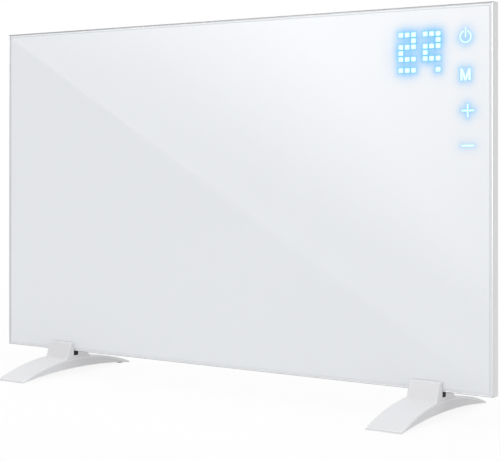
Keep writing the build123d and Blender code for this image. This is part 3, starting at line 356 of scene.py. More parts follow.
@dataclass(frozen=True)
class LitWindow(Finish):
    """Translucent window lit from behind, brightest in the middle."""

    roughness: float = 0.1
    wear: Noise = Noise(90.0, 3.0)
    swing: Flat = (0.0, 0.1)
    rim_light_tone: Tone = (0.42, 0.78, 1.0)
    body_tone: Tone = (0.75, 0.9, 0.95)
    flicker: Noise = Noise(160.0, 3.0)
    strength: Flat = (0.96, 1.0)

    def inputs(self, desk: Desk) -> Inputs:
        """Inputs of its shader."""
        heat, rim = desk.trait("heat"), opaque(self.rim_light_tone)
        return {
            "Base Color": desk.mix(heat, rim, opaque(self.body_tone)),
            "Roughness": self.rough(desk, self.wear),
            "Emission Color": desk.mix(heat, rim, opaque(self.tone)),
            "Emission Strength": desk.spread(self.flicker, *self.strength),
        }


@dataclass(frozen=True)
class Fibre(Finish):
    """Pressed mineral fibre board with loose strands."""

    roughness: float = 0.95
    loss: float = 0.14
    swing: None = None
    grain: Noise = Noise(900.0, 6.0, (1.0, 1.0, 0.15))
    relief: Relief = Relief(0.0004, 0.6)
    fixed: Fixed = (("Sheen Weight", 0.2),)


@dataclass(frozen=True)
class Board(Finish):
    """Circuit board lacquer over copper tracks."""

    roughness: float = 0.25
    wear: Noise = Noise(80.0)
    swing: Flat = (0.0, 0.13)
    relief: Relief = Relief(0.00004)
    track_tone: Tone = (0.10, 0.38, 0.20)

    def inputs(self, desk: Desk) -> Inputs:
        """Inputs of its shader."""
        rows = {"Scale": 60.0, "Mortar Size": 0.03, "Brick Width": 0.9, "Row Height": 0.3}
        tracks = desk.add("ShaderNodeTexBrick", {"Vector": desk.place(), **rows}).outputs["Fac"]
        return {
            "Base Color": desk.mix(tracks, opaque(self.tone), opaque(self.track_tone)),
            "Roughness": self.rough(desk, self.wear),
            "Coat Weight": 0.4,
            "Normal": desk.bump(tracks, self.relief),
        }


@dataclass(frozen=True)
class ClearLens(Finish):
    """Small clear or tinted moulded lens."""

    roughness: float = 0.05
    cloud: Noise = Noise(300.0, 3.0)
    loss: float = 0.06
    wear: Noise = Noise(120.0, 3.0)
    swing: Flat = (0.0, 0.09)
    clarity: float = 0.6

    def inputs(self, desk: Desk) -> Inputs:
        """Inputs of its shader."""
        return {
            "Base Color": self.clouded(desk, self.cloud),
            "Roughness": self.rough(desk, self.wear),
            "Transmission Weight": self.clarity,
            "IOR": 1.49,
        }


def mix_paints() -> Paints:
    """Builds every finish of the heater, by its slot."""
    coarse, satin = Relief(0.00006, 0.35), Relief(0.00001, 0.35)
    finishes: list[Finish] = [
        EnamelGlass("white_glass", (0.925, 0.945, 0.975)),
        RailMetal("frame_silver", (0.80, 0.80, 0.805)),
        Metal("cast_zinc", (0.60, 0.61, 0.63), 0.5, grain=Noise(300.0, 3.0)),
        Moulded("silicone_tape", (0.80, 0.80, 0.79), 0.7),
        LitWindow("display_light", (0.86, 0.98, 1.0)),
        LitWindow("key_light", (0.84, 0.97, 1.0)),
        Moulded("heating_film", (0.03, 0.03, 0.035), 0.3),
        Metal("copper", (0.80, 0.42, 0.27), 0.28),
        Moulded("mica", (0.52, 0.45, 0.34), 0.35, loss=0.3),
        Metal("foil", (0.86, 0.87, 0.88), 0.16, grain=Noise(260.0, 3.0), relief=Relief(0.0004, 0.4)),
        Fibre("insulation", (0.74, 0.71, 0.64)),
        Coated("cover_white", (0.80, 0.80, 0.80)),
        Metal("zinc_steel", (0.70, 0.71, 0.72), 0.3, grain=Noise(500.0, 3.0)),
        Moulded("white_plastic", (0.80, 0.80, 0.795), 0.45, grain=Noise(900.0, 2.0), relief=coarse),
        # the feet get a painted highlight along their rims
        Moulded("foot_white", (0.80, 0.80, 0.815), 0.42, 0.3, relief=satin, loss=0.012, highlight_rim_width=0.0024),
        Moulded("black_rubber", (0.018, 0.018, 0.018), 0.75, gloss=0.3),
        Moulded("black_plastic", (0.022, 0.022, 0.023), 0.4, grain=Noise(1100.0, 2.0), relief=coarse),
        Board("circuit_green", (0.03, 0.16, 0.07)),
        Moulded("mask_grey", (0.18, 0.18, 0.19), 0.6),
        ClearLens("led_lens", (0.86, 0.94, 0.99)),
        ClearLens("dark_lens", (0.05, 0.02, 0.04), clarity=0.3),
        Moulded("ribbon_grey", (0.34, 0.34, 0.35), 0.45),
        Moulded("relay_blue", (0.03, 0.09, 0.34), 0.3),
        Metal("can_steel", (0.16, 0.20, 0.28), 0.3),
        ClearLens("fuse_glass", (0.9, 0.92, 0.92), clarity=0.9),
        Moulded("terminal_green", (0.05, 0.30, 0.12), 0.4),
        Moulded("lead_white", (0.74, 0.74, 0.71), 0.5),
        Metal("brass", (0.74, 0.54, 0.22), 0.28),
    ]
    return {finish.slot: finish.material() for finish in finishes}


# -- mesh helpers
def placed(name: str, data: bpy.types.ID) -> bpy.types.Object:
    """New object with that data, linked to the scene."""
    made = bpy.data.objects.new(name, data)
    bpy.context.scene.collection.objects.link(made)
    return made


def bar(x: float, z: float, width: float, height: float) -> list[Flat]:
    """Rectangle about a centre."""
    w, h = width / 2, height / 2
    return [(x - w, z - h), (x + w, z - h), (x + w, z + h), (x - w, z + h)]


def arc(middle: Flat, radius: float, start: float, sweep: float, steps: int) -> list[Flat]:
    """Points along an arc.

    Args:
        middle: centre of the arc.
        radius: its radius.
        start: direction of its first point, in degrees.
        sweep: degrees that it turns through, below 0 for clockwise.
        steps: steps between its points.

    Returns:
        The points, one more than the steps.
    """
    turns = [math.radians(start + sweep * i / steps) for i in range(steps + 1)]
    return [(middle[0] + radius * math.cos(t), middle[1] + radius * math.sin(t)) for t in turns]


def turned(quarter: Sequence[Flat]) -> list[Flat]:
    """Outline about 0 that four quarter turns of its first part make."""
    points: list[Flat] = []
    for _ in range(4):
        points += quarter
        quarter = [(-z, x) for x, z in quarter]
    return points


class Mesher:
    """Collects points and faces in millimetres and turns them into one piece."""

    def __init__(self) -> None:
        """Starts with nothing."""
        self.points: list[Point] = []
        self.faces: list[tuple[int, ...]] = []
        self.traits: dict[str, dict[int, float]] = {}

    def ring(self, points: Iterable[Point], **traits: float | Sequence[float]) -> list[int]:
        """Adds points in a row.

        Args:
            points: the points.
            **traits: a value that all the points carry under a name, or one value each.

        Returns:
            The numbers of the points.
        """
        start = len(self.points)
        self.points.extend(points)
        numbers = list(range(start, len(self.points)))
        for name, value in traits.items():
            values = [value] * len(numbers) if isinstance(value, (int, float)) else value
            self.traits.setdefault(name, {}).update(zip(numbers, values))
        return numbers

    def skin(self, rings: Sequence[Sequence[int]], closed: bool = True) -> None:
        """Joins each ring to the next of the same length with four-sided faces."""
        for first, second in zip(rings, rings[1:]):
            for i in range(len(first) if closed else len(first) - 1):
                j = (i + 1) % len(first)
                self.faces.append((first[i], first[j], second[j], second[i]))

    def solid(self, rings: Sequence[Sequence[int]]) -> None:
        """Joins each ring to the next, and closes the first and the last with one face each."""
        self.skin(rings)
        self.faces += [tuple(rings[0]), tuple(rings[-1])]

    def piece(self, name: str, smooth_degrees: float = 30.0) -> bpy.types.Object:
        """Makes the piece.

        Args:
            name: the piece's name.
            smooth_degrees: edges sharper than this stay hard.

        Returns:
            The new object, in place and linked to the scene.
        """
        mesh = bpy.data.meshes.new(name)
        mesh.from_pydata([tuple(c * MM for c in p) for p in self.points], [], self.faces)
        for trait, values in self.traits.items():
            kept = mesh.attributes.new(trait, "FLOAT", "POINT")
            kept.data.foreach_set("value", [values.get(i, 0.0) for i in range(len(self.points))])
        tidy = bmesh.new()
        tidy.from_mesh(mesh)
        bmesh.ops.recalc_face_normals(tidy, faces=tidy.faces)
        tidy.to_mesh(mesh)
        tidy.free()
        mesh.shade_smooth()
        mesh.set_sharp_from_angle(angle=math.radians(smooth_degrees))
        return placed(name, mesh)


def finish_piece(
    piece: bpy.types.Object, paints: Paints, slot: str, *stands_for: str, body: Body = Body.PANEL
) -> None:
    """Gives a new piece its finish and its body, and hides the CAD nodes that it stands for.

    Args:
        piece: the new piece.
        paints: the heater's finishes.
        slot: which of them the piece gets.
        *stands_for: names of the CAD nodes that it replaces.
        body: the moving body that it rides on.
    """
    piece.data.materials.clear()
    piece.data.materials.append(paints[slot])
    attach(piece, body.value)
    if stands_for:
        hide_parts(*stands_for)
    LOG.info("%s rides on %s, finish %s", piece.name, body.value, slot)


# -- lit windows and keys
@dataclass
class LitMarks:
    """Dot display and touch key marks, a hair proud of the glass."""

    lift_mm: float = 42.5
    glass_front_mm: float = -13.3
    proud_mm: float = 0.04
    sunk_mm: float = 0.25
    crown_mm: float = 0.01
    rim_heat: float = 0.25
    dot_rim_mm: float = 1.2
    key_rim_mm: float = 0.55
    dot_w_mm: float = 7.4
    dot_h_mm: float = 6.7
    dot_corner_mm: float = 0.8
    least_corner_mm: float = 0.2
    corner_steps: int = 4
    first_columns_mm: Numbers = (345.1, 356.1, 367.1)
    second_columns_mm: Numbers = (387.1, 398.1, 409.1)
    row_heights_mm: Numbers = (556.3, 546.7, 537.1, 527.5, 517.9)
    sign_height_mm: float = 500.4
    digit_rows: tuple[str, ...] = ("111", "001", "111", "100", "111")
    sign_rows: tuple[str, str] = ("111", "001")
    upper_key_x_mm: float = 454.9
    lower_key_x_mm: float = 458.4
    power_height_mm: float = 549.0
    mode_height_mm: float = 491.0
    plus_height_mm: float = 435.5
    minus_height_mm: float = 381.6
    power_radius_mm: float = 9.75
    power_stroke_mm: float = 1.8
    power_gap_mm: float = 2.2
    power_bar_mm: Flat = (-1.0, 14.0)
    power_steps: int = 40
    mode_w_mm: float = 16.6
    mode_h_mm: float = 18.0
    mode_stroke_mm: float = 3.4
    key_size_mm: float = 20.0
    key_stroke_mm: float = 2.3
    halo_reach_mm: float = 6.6
    halo_fall: float = 1.25
    dot_halo: float = 0.8
    power_halo: float = 0.45
    mode_halo: float = 0.92
    plus_halo: float = 0.66
    minus_halo: float = 0.5
    power_heat: float = 0.45
    mode_inset_mm: float = 2.0
    key_inset_mm: float = 1.0
    bar_light_mm: float = 12.0
    ring_light: tuple[float, float, int] = (130.0, 280.0, 10)

    def dots(self) -> list[Flat]:
        """Centres of the lit dots, x and height above the panel's lower edge."""
        found = []
        for columns, sign in zip((self.first_columns_mm, self.second_columns_mm), self.sign_rows):
            rows = [*zip(self.row_heights_mm, self.digit_rows), (self.sign_height_mm, sign)]
            found += [(x, h) for h, lit in rows for x, on in zip(columns, lit) if on == "1"]
        return found

    def dot_outline(self, x: float, height: float, inset: float) -> list[Flat]:
        """Rounded rectangle of one dot."""
        corner = max(self.least_corner_mm, self.dot_corner_mm - inset)
        w, h = self.dot_w_mm / 2 - inset - corner, self.dot_h_mm / 2 - inset - corner
        points = []
        for quarter, (sx, sz) in enumerate(((1, 1), (-1, 1), (-1, -1), (1, -1))):
            points += arc((x + sx * w, height + sz * h), corner, 90 * quarter, 90, self.corner_steps)
        return points

    def power_shapes(self) -> list[list[Flat]]:
        """Open ring and bar of the power mark."""
        x, height = self.upper_key_x_mm, self.power_height_mm
        ring: list[Flat] = []
        for radius, order in ((self.power_radius_mm, 1), (self.power_radius_mm - self.power_stroke_mm, -1)):
            gap = math.degrees(math.asin((self.power_stroke_mm / 2 + self.power_gap_mm) / radius))
            ring += arc((x, height), radius, 90 - gap, 2 * gap - 360, self.power_steps)[::order]
        low, high = self.power_bar_mm
        return [ring, bar(x, height + (low + high) / 2, self.power_stroke_mm, high - low)]

    def mode_shape(self) -> list[Flat]:
        """Letter M as one outline."""
        x, height, s = self.upper_key_x_mm, self.mode_height_mm, self.mode_stroke_mm
        left, right = x - self.mode_w_mm / 2, x + self.mode_w_mm / 2
        top, low = height + self.mode_h_mm / 2, height - self.mode_h_mm / 2
        slope = self.mode_h_mm / (x - s / 2 - left)
        post = top - slope * s
        notch = top - slope * (x - left - s)
        return [
            (left, low), (left + s, low), (left + s, post), (x - s / 2, low), (x + s / 2, low),
            (right - s, post), (right - s, low), (right, low), (right, top), (right - s, top),
            (x, notch), (left + s, top), (left, top),
        ]

    def plus_shape(self) -> list[Flat]:
        """Plus sign as one outline."""
        x, height = self.lower_key_x_mm, self.plus_height_mm
        a, b = self.key_size_mm / 2, self.key_stroke_mm / 2
        return [(x + dx, height + dz) for dx, dz in turned([(b, -a), (b, -b), (a, -b)])]

    def key_segments(self) -> list[tuple[Flat, Flat, float]]:
        """Middle lines of the key marks and the strength of the light that each throws."""
        x, y = self.upper_key_x_mm, self.lower_key_x_mm
        w, h = self.mode_w_mm / 2 - self.mode_inset_mm, self.mode_h_mm / 2 - self.mode_inset_mm
        m, p, q = self.mode_height_mm, self.plus_height_mm, self.minus_height_mm
        k = self.key_size_mm / 2 - self.key_inset_mm
        power = (x, self.power_height_mm)
        ring = arc(power, self.power_radius_mm - self.power_stroke_mm / 2, *self.ring_light)
        return [
            *(((x + side, m - h), (x + side, m + h), self.mode_halo) for side in (-w, w)),
            ((y - k, p), (y + k, p), self.plus_halo),
            ((y, p - k), (y, p + k), self.plus_halo),
            ((y - k, q), (y + k, q), self.minus_halo),
            (power, (x, self.power_height_mm + self.bar_light_mm), self.power_halo),
            *((a, b, self.power_halo / 2) for a, b in zip(ring, ring[1:])),
        ]

    def fade(self, gap: float) -> float:
        """Share of a halo's light that is left at a gap from its mark."""
        return math.exp(-((gap / self.halo_reach_mm) ** self.halo_fall))

    def glow(self, x: float, height: float) -> float:
        """Light on the glass round the marks at a point, from 0 to 1."""
        dark = 1.0
        half_w, half_h = self.dot_w_mm / 2, self.dot_h_mm / 2
        for dx, dh in self.dots():
            gap = math.hypot(max(0.0, abs(x - dx) - half_w), max(0.0, abs(height - dh) - half_h))
            dark *= 1 - self.dot_halo * self.fade(gap)
        for (ax, ah), (bx, bh), strength in self.key_segments():
            span = (bx - ax) ** 2 + (bh - ah) ** 2
            t = min(1.0, max(0.0, ((x - ax) * (bx - ax) + (height - ah) * (bh - ah)) / span))
            gap = math.hypot(x - ax - t * (bx - ax), height - ah - t * (bh - ah))
            dark *= 1 - strength * self.fade(gap)
        return 1 - dark

    def plate(self, mesher: Mesher, outline: list[Flat], inner: list[Flat], heat: float = 1.0) -> None:
        """Adds one lit plate with a dimmer rim; heat is how bright its middle is."""
        front, back = self.glass_front_mm - self.proud_mm, self.glass_front_mm + self.sunk_mm
        levels = ((outline, back, 0.0), (outline, front, self.rim_heat), (inner, front - self.crown_mm, heat))
        mesher.solid([
            mesher.ring([(x, y, h + self.lift_mm) for x, h in shape], heat=warmth)
            for shape, y, warmth in levels
        ])

    def build(self, paints: Paints) -> None:
        """Makes the display's dots and the key marks."""
        digits = Mesher()
        for x, height in self.dots():
            self.plate(digits, self.dot_outline(x, height, 0.0), self.dot_outline(x, height, self.dot_rim_mm))
        finish_piece(digits.piece("lit_digits"), paints, "display_light", "display_digits")
        keys = Mesher()
        minus = bar(self.lower_key_x_mm, self.minus_height_mm, self.key_size_mm, self.key_stroke_mm)
        marks = [(outline, self.power_heat) for outline in self.power_shapes()]
        marks += [(outline, 1.0) for outline in (self.mode_shape(), self.plus_shape(), minus)]
        for outline, heat in marks:
            self.plate(keys, outline, inset_outline(outline, self.key_rim_mm), heat)
        finish_piece(keys.piece("lit_keys"), paints, "key_light", "key_marks")


def inset_outline(outline: list[Flat], inset: float, least: float = 0.35) -> list[Flat]:
    """Moves each side of a closed outline inwards.

    Args:
        outline: corners in order, either way round.
        inset: how far, in the outline's unit.
        least: smallest divisor at a sharp corner, which keeps its mitre short.

    Returns:
        The moved corners, in the same order.
    """
    corners = [Vector(corner) for corner in outline]
    following = corners[1:] + corners[:1]
    area = sum(here.cross(after) for here, after in zip(corners, following))
    inward = inset if area > 0 else -inset
    moved = []
    for before, here, after in zip(corners[-1:] + corners, corners, following):
        a, b = (here - before).normalized(), (after - here).normalized()
        normal_a, normal_b = Vector((-a.y, a.x)), Vector((-b.y, b.x))
        mitre = (normal_a + normal_b) / max(least, 1 + normal_a.dot(normal_b))
        moved.append(tuple(here + mitre * inward))
    return moved


# -- glass
@dataclass
class GlassFront:
    """The glass pane with its polished bevel, and the light of the marks on it."""

    half_w_mm: float = 497.9
    low_mm: float = 44.6
    high_mm: float = 640.4
    front_mm: float = -13.3
    back_mm: float = -8.3
    bevel_w_mm: float = 4.2
    bevel_d_mm: float = 0.6
    wide_step_mm: float = 40.0
    fine_step_mm: float = 1.6
    corner_step_mm: float = 0.4
    fine_x_mm: Flat = (326.0, 482.0)
    fine_z_mm: Flat = (400.0, 626.0)
    bevel_outs_mm: Numbers = (0.12, 1.4, 1.6, 4.0, 4.2)
    # Edge values of the bevel rings, from the flat face outwards: the grey of the bare bevel with painted
    # shade set side by side as the light falls, darker across the left bevel than the right and in a dark
    # inner line along the top.
    left_edge: Numbers = (0.4, 0.4, 0.4, 0.3, 0.2)
    right_edge: Numbers = (0.4, 0.4, 0.1, 0.1, 0.2)
    low_edge: Numbers = (0.1, 0.1, 0.0, 0.0, 0.0)
    top_edge: Numbers = (0.8, 0.8, 0.0, 0.0, 0.2)
    smooth_degrees: float = 8.0
    near_mm: float = 1e-6

    def lines(self, low: float, high: float, fine: Flat) -> list[float]:
        """Grid lines from low to high, close together inside the fine span and next to the ends."""
        near, last = self.near_mm, high - self.corner_step_mm
        found = [low, low + self.corner_step_mm]
        while found[-1] < last - near:
            here = found[-1]
            inside = fine[0] - near <= here < fine[1] - near
            stop = fine[1] if inside else fine[0] if here < fine[0] else last
            step = self.fine_step_mm if inside else self.wide_step_mm
            found.append(min(here + step, stop))
        return found + [high]

    def bevel_ring(self, mesher: Mesher, rim: list[int], out: float, y: float, edges: Numbers) -> list[int]:
        """Adds one ring of the bevel.

        Args:
            mesher: the pane's mesh.
            rim: numbers of the flat face's outline points.
            out: how far outside that outline the ring lies.
            y: the ring's depth in the model.
            edges: edge values on the left, right, lower and upper side, bare bevel grey with painted shade.

        Returns:
            The numbers of the ring's points.
        """
        left, right, low, top = edges
        middle = (self.low_mm + self.high_mm) / 2
        half_x = self.half_w_mm - self.bevel_w_mm
        half_z = (self.high_mm - self.low_mm) / 2 - self.bevel_w_mm
        points, values = [], []
        for x, _, z in (mesher.points[i] for i in rim):
            points.append((x * (half_x + out) / half_x, y, middle + (z - middle) * (half_z + out) / half_z))
            upright = left if x < 0 else right
            level = low if z < middle else top
            values.append(upright if abs(x) > half_x - self.near_mm else level)
        return mesher.ring(points, edge=values)

    def build(self, paints: Paints, marks: LitMarks) -> None:
        """Makes the pane."""
        mesher = Mesher()
        inset = self.bevel_w_mm
        xs = self.lines(inset - self.half_w_mm, self.half_w_mm - inset, self.fine_x_mm)
        zs = self.lines(self.low_mm + inset, self.high_mm - inset, self.fine_z_mm)
        (left, right), low = self.fine_x_mm, self.fine_z_mm[0]
        grid = []
        for z in zs:
            # glow: the marks' light painted on the glass round them
            lit = [z >= low and left <= x <= right for x in xs]
            glow = [marks.glow(x, z - marks.lift_mm) if near else 0.0 for x, near in zip(xs, lit)]
            grid.append(mesher.ring([(x, self.front_mm, z) for x in xs], glow=glow))
        mesher.skin(grid, closed=False)
        rim = grid[0] + [row[-1] for row in grid[1:-1]] + grid[-1][::-1] + [row[0] for row in grid[-2:0:-1]]
        rings = [rim]
        sides = (self.left_edge, self.right_edge, self.low_edge, self.top_edge)
        for out, *edges in zip(self.bevel_outs_mm, *sides):
            y = self.front_mm + self.bevel_d_mm * out / self.bevel_w_mm
            rings.append(self.bevel_ring(mesher, rim, out, y, edges))
        rings.append(self.bevel_ring(mesher, rim, inset, self.back_mm, (1.0,) * 4))
        mesher.skin(rings)
        mesher.faces.append(tuple(rings[-1]))
        finish_piece(mesher.piece("glass_pane", self.smooth_degrees), paints, "white_glass", "glass_panel")


# -- frame
@dataclass
class RailSet:
    """The four mitred rails round the glass."""

    half_w_mm: float = 500.0
    low_mm: float = 42.5
    high_mm: float = 642.5
    front_mm: float = -13.5
    depth_mm: float = 21.0
    wall_mm: float = 2.0
    outer_round_mm: float = 0.6
    inner_round_mm: float = 0.2
    back_round_mm: float = 3.0
    round_steps: int = 4
    bead_mm: Flat = (5.0, 4.5)
    ledge_mm: Flat = (14.0, 6.2)
    flange_mm: Flat = (16.0, 18.5)
    web_mm: float = 1.5
    fade_mm: float = 0.1
    corner_shade: float = 0.6
    reach_shade: float = 0.3
    back_shade: float = 0.4
    # Per side: strength of the painted shade on the rounded outer edge, width of the lip band that shares it,
    # and strength of the painted highlight on the rest of the lip; they differ from side to side as the light
    # falls.
    side_shade_and_highlight: tuple[tuple[str, float, float, float], ...] = (
        ("bottom", 1.0, 0.1, 1.0), ("top", 0.8, 1.05, 0.0), ("left", 0.0, 0.0, 0.3), ("right", 0.15, 0.0, 0.4)
    )
    seam_mm: float = 0.1
    seam_fade_mm: float = 0.5
    smooth_degrees: float = 25.0

    def web(self, root: float, reach: float, front: float) -> list[Row]:
        """Section of a thin web that stands inwards from its root, with painted shade that is darkest at the
        root.
        """
        back, tip = front + self.web_mm, self.reach_shade
        return [
            (root, front, 1.0, 0.0), (reach, front, tip, 0.0), (reach, back, tip, 0.0),
            (root, back, self.corner_shade, 0.0),
        ]

    def section(self, edge: float, band: float, lip_highlight: float) -> list[Row]:
        """Rail's section.

        Args:
            edge: strength of the painted shade on the rounded outer edge, from 0 to 1.
            band: width of the lip that takes the same painted shade as that edge.
            lip_highlight: strength of the painted highlight on the rest of the lip, from 0 to 1.

        Returns:
            Points as inward from the outer face, back from the front, edge value and lip value.
        """
        w, d, f, steps = self.wall_mm, self.depth_mm, self.fade_mm, self.round_steps
        r, q, b = self.outer_round_mm, self.inner_round_mm, self.back_round_mm
        bead, bead_front = self.bead_mm[0], d - self.bead_mm[1]
        # edge values are painted shade, darkest on the lip's inner face and in the web corners; lip values
        # are painted highlight
        found = [(0.0, r + f, 0.0, 0.0)]
        found += [(x, y, edge, 0.0) for x, y in arc((r, r), r, -180, 90, steps)]
        if band:
            found.append((r + band, 0.0, edge, 0.0))
        found.append((r + band + f, 0.0, 0.0, lip_highlight))
        found += [(x, y, 0.0, lip_highlight) for x, y in arc((w - q, q), q, -90, 90, steps)]
        found.append((w, q + f, 1.0, 0.0))
        found += self.web(w, *self.ledge_mm)
        found += [(x, bead_front, self.corner_shade, 0.0) for x in (w, bead)]
        found += self.web(bead, *self.flange_mm)
        found.append((bead, d, self.back_shade, 0.0))
        found += [(x, y, 0.0, 0.0) for x, y in arc((b, d - b), b, -270, 90, steps)]
        return found

    def rail(self, section: list[Row], middle: Point, along: Point, inward: Point, length: float) -> Mesher:
        """One rail with mitred ends.

        Args:
            section: its section, as section gives it.
            middle: middle of its outer front edge.
            along: direction of its length.
            inward: direction towards the glass.
            length: length of its outer edge.

        Returns:
            The rail's mesh.
        """
        mesher = Mesher()
        rings = []
        for side, back_off in ((-1, 0.0), (-1, self.seam_fade_mm), (1, self.seam_fade_mm), (1, 0.0)):
            points = []
            for inset, depth, _, _ in section:
                s = side * (length / 2 - inset - self.seam_mm - back_off)
                x, z = (middle[k] + along[k] * s + inward[k] * inset for k in (0, 2))
                points.append((x, middle[1] + depth, z))
            # full edge value at the mitre ends for the dark joint, the section's painted shade elsewhere
            edges = [edge if back_off else 1.0 for _, _, edge, _ in section]
            rings.append(mesher.ring(points, edge=edges, lip=[lip for *_, lip in section]))
        mesher.solid(rings)
        return mesher

    def build(self, paints: Paints) -> None:
        """Makes the four rails."""
        half, front, middle = self.half_w_mm, self.front_mm, (self.low_mm + self.high_mm) / 2
        width, height = 2 * half, self.high_mm - self.low_mm
        places = {
            "bottom": ((0.0, front, self.low_mm), (1, 0, 0), (0, 0, 1), width),
            "top": ((0.0, front, self.high_mm), (-1, 0, 0), (0, 0, -1), width),
            "left": ((-half, front, middle), (0, 0, -1), (1, 0, 0), height),
            "right": ((half, front, middle), (0, 0, 1), (-1, 0, 0), height),
        }
        for side, *tones in self.side_shade_and_highlight:
            rail = self.rail(self.section(*tones), *places[side])
            piece = rail.piece(f"rail_{side}", self.smooth_degrees)
            finish_piece(piece, paints, "frame_silver", f"frame_rail_{side}")


# -- screws and switch marks
@dataclass
class CrossScrews:
    """Countersunk cross-head screws that face the back."""

    name: str
    stands_for: str
    places_mm: list[Flat]
    head_y_mm: float
    tip_y_mm: float
    head_radius_mm: float = 2.7
    head_rim_mm: float = 0.2
    head_depth_mm: float = 1.5
    shank_radius_mm: float = 1.35
    arm_mm: float = 1.55
    arm_half_mm: float = 0.38
    recess_mm: float = 1.0
    recess_taper: float = 0.55
    turn_step: float = 37.0

    def cross(self) -> list[Flat]:
        """Outline of the recess, with a point between each two corners."""
        a, w = self.arm_mm, self.arm_half_mm
        return turned([(a, -w), (a, 0.0), (a, w), ((a + w) / 2, w), (w, w), (w, (a + w) / 2)])

    def add_screw(self, mesher: Mesher, place: Flat, turn: float) -> None:
        """Adds one screw at a place, its recess turned by an angle in radians."""
        cos, sin = math.cos(turn), math.sin(turn)
        cross = [(x * cos - z * sin, x * sin + z * cos) for x, z in self.cross()]
        disc = [(x / math.hypot(x, z), z / math.hypot(x, z)) for x, z in cross]
        top = self.head_y_mm
        levels = (
            (cross, self.recess_taper, top - self.recess_mm),
            (cross, 1.0, top),
            (disc, self.head_radius_mm - self.head_rim_mm / 2, top),
            (disc, self.head_radius_mm, top - self.head_rim_mm),
            (disc, self.shank_radius_mm, top - self.head_depth_mm),
            (disc, self.shank_radius_mm, self.tip_y_mm),
        )
        mesher.solid([
            mesher.ring([(place[0] + x * size, y, place[1] + z * size) for x, z in shape])
            for shape, size, y in levels
        ])

    def build(self, paints: Paints) -> None:
        """Makes the set of screws as one piece."""
        mesher = Mesher()
        for number, place in enumerate(self.places_mm):
            self.add_screw(mesher, place, math.radians(self.turn_step * number))
        finish_piece(mesher.piece(self.name), paints, "zinc_steel", self.stands_for)


@dataclass
class SwitchMarks:
    """ON and OFF marks printed on the rocker: a bar and a ring."""

    middle_y_mm: float = 21.5
    bar_z_mm: float = 446.3
    ring_z_mm: float = 438.7
    bar_mm: Flat = (0.8, 3.4)
    ring_radius_mm: float = 1.6
    ring_stroke_mm: float = 0.6
    ring_steps: int = 24
    print_mm: float = 0.05
    sunk_mm: float = 0.15
    far_x_mm: float = 490.0

    def on_face(self, outline: list[Flat], lift: float) -> list[Point]:
        """Outline of y and height laid on the rocker's face, lifted off it."""
        rocker, inward = frame["nodes"]["rocker"], Vector((-1, 0, 0))
        rays = [rocker.ray_cast(Vector((self.far_x_mm, y, z)) * MM, inward) for y, z in outline]
        return [tuple(hit / MM + normal * lift) for _, hit, normal, _ in rays]

    def build(self, paints: Paints) -> None:
        """Makes both marks as one piece."""
        mesher = Mesher()
        low, top = -self.sunk_mm, self.print_mm
        stroke = bar(self.middle_y_mm, self.bar_z_mm, *self.bar_mm)
        mesher.solid([mesher.ring(self.on_face(stroke, lift)) for lift in (low, top)])
        middle, radius = (self.middle_y_mm, self.ring_z_mm), self.ring_radius_mm
        outer, inner = (
            arc(middle, size, 0, 360, self.ring_steps)[:-1] for size in (radius, radius - self.ring_stroke_mm)
        )
        levels = ((outer, low), (outer, top), (inner, top), (inner, low))
        rings = [mesher.ring(self.on_face(shape, lift)) for shape, lift in levels]
        mesher.skin([*rings, rings[0]])
        finish_piece(mesher.piece("switch_marks"), paints, "white_plastic", body=Body.ROCKER)


# -- studio
@dataclass(frozen=True)
class Lamp:
    """One square soft lamp; glossy says whether smooth surfaces mirror it."""

    name: str
    place: Point
    size: float
    power: float
    aim: Point = (0.0, 0.0, 0.3)
    glossy: bool = False

    def build(self) -> None:
        """Makes the lamp."""
        data = bpy.data.lights.new(self.name, "AREA")
        data.size = self.size
        data.energy = self.power
        lamp = placed(self.name, data)
        lamp.visible_glossy = self.glossy
        lamp.location = self.place
        lamp.rotation_mode = "QUATERNION"
        lamp.rotation_quaternion = (Vector(self.aim) - Vector(self.place)).to_track_quat("-Z", "Y")


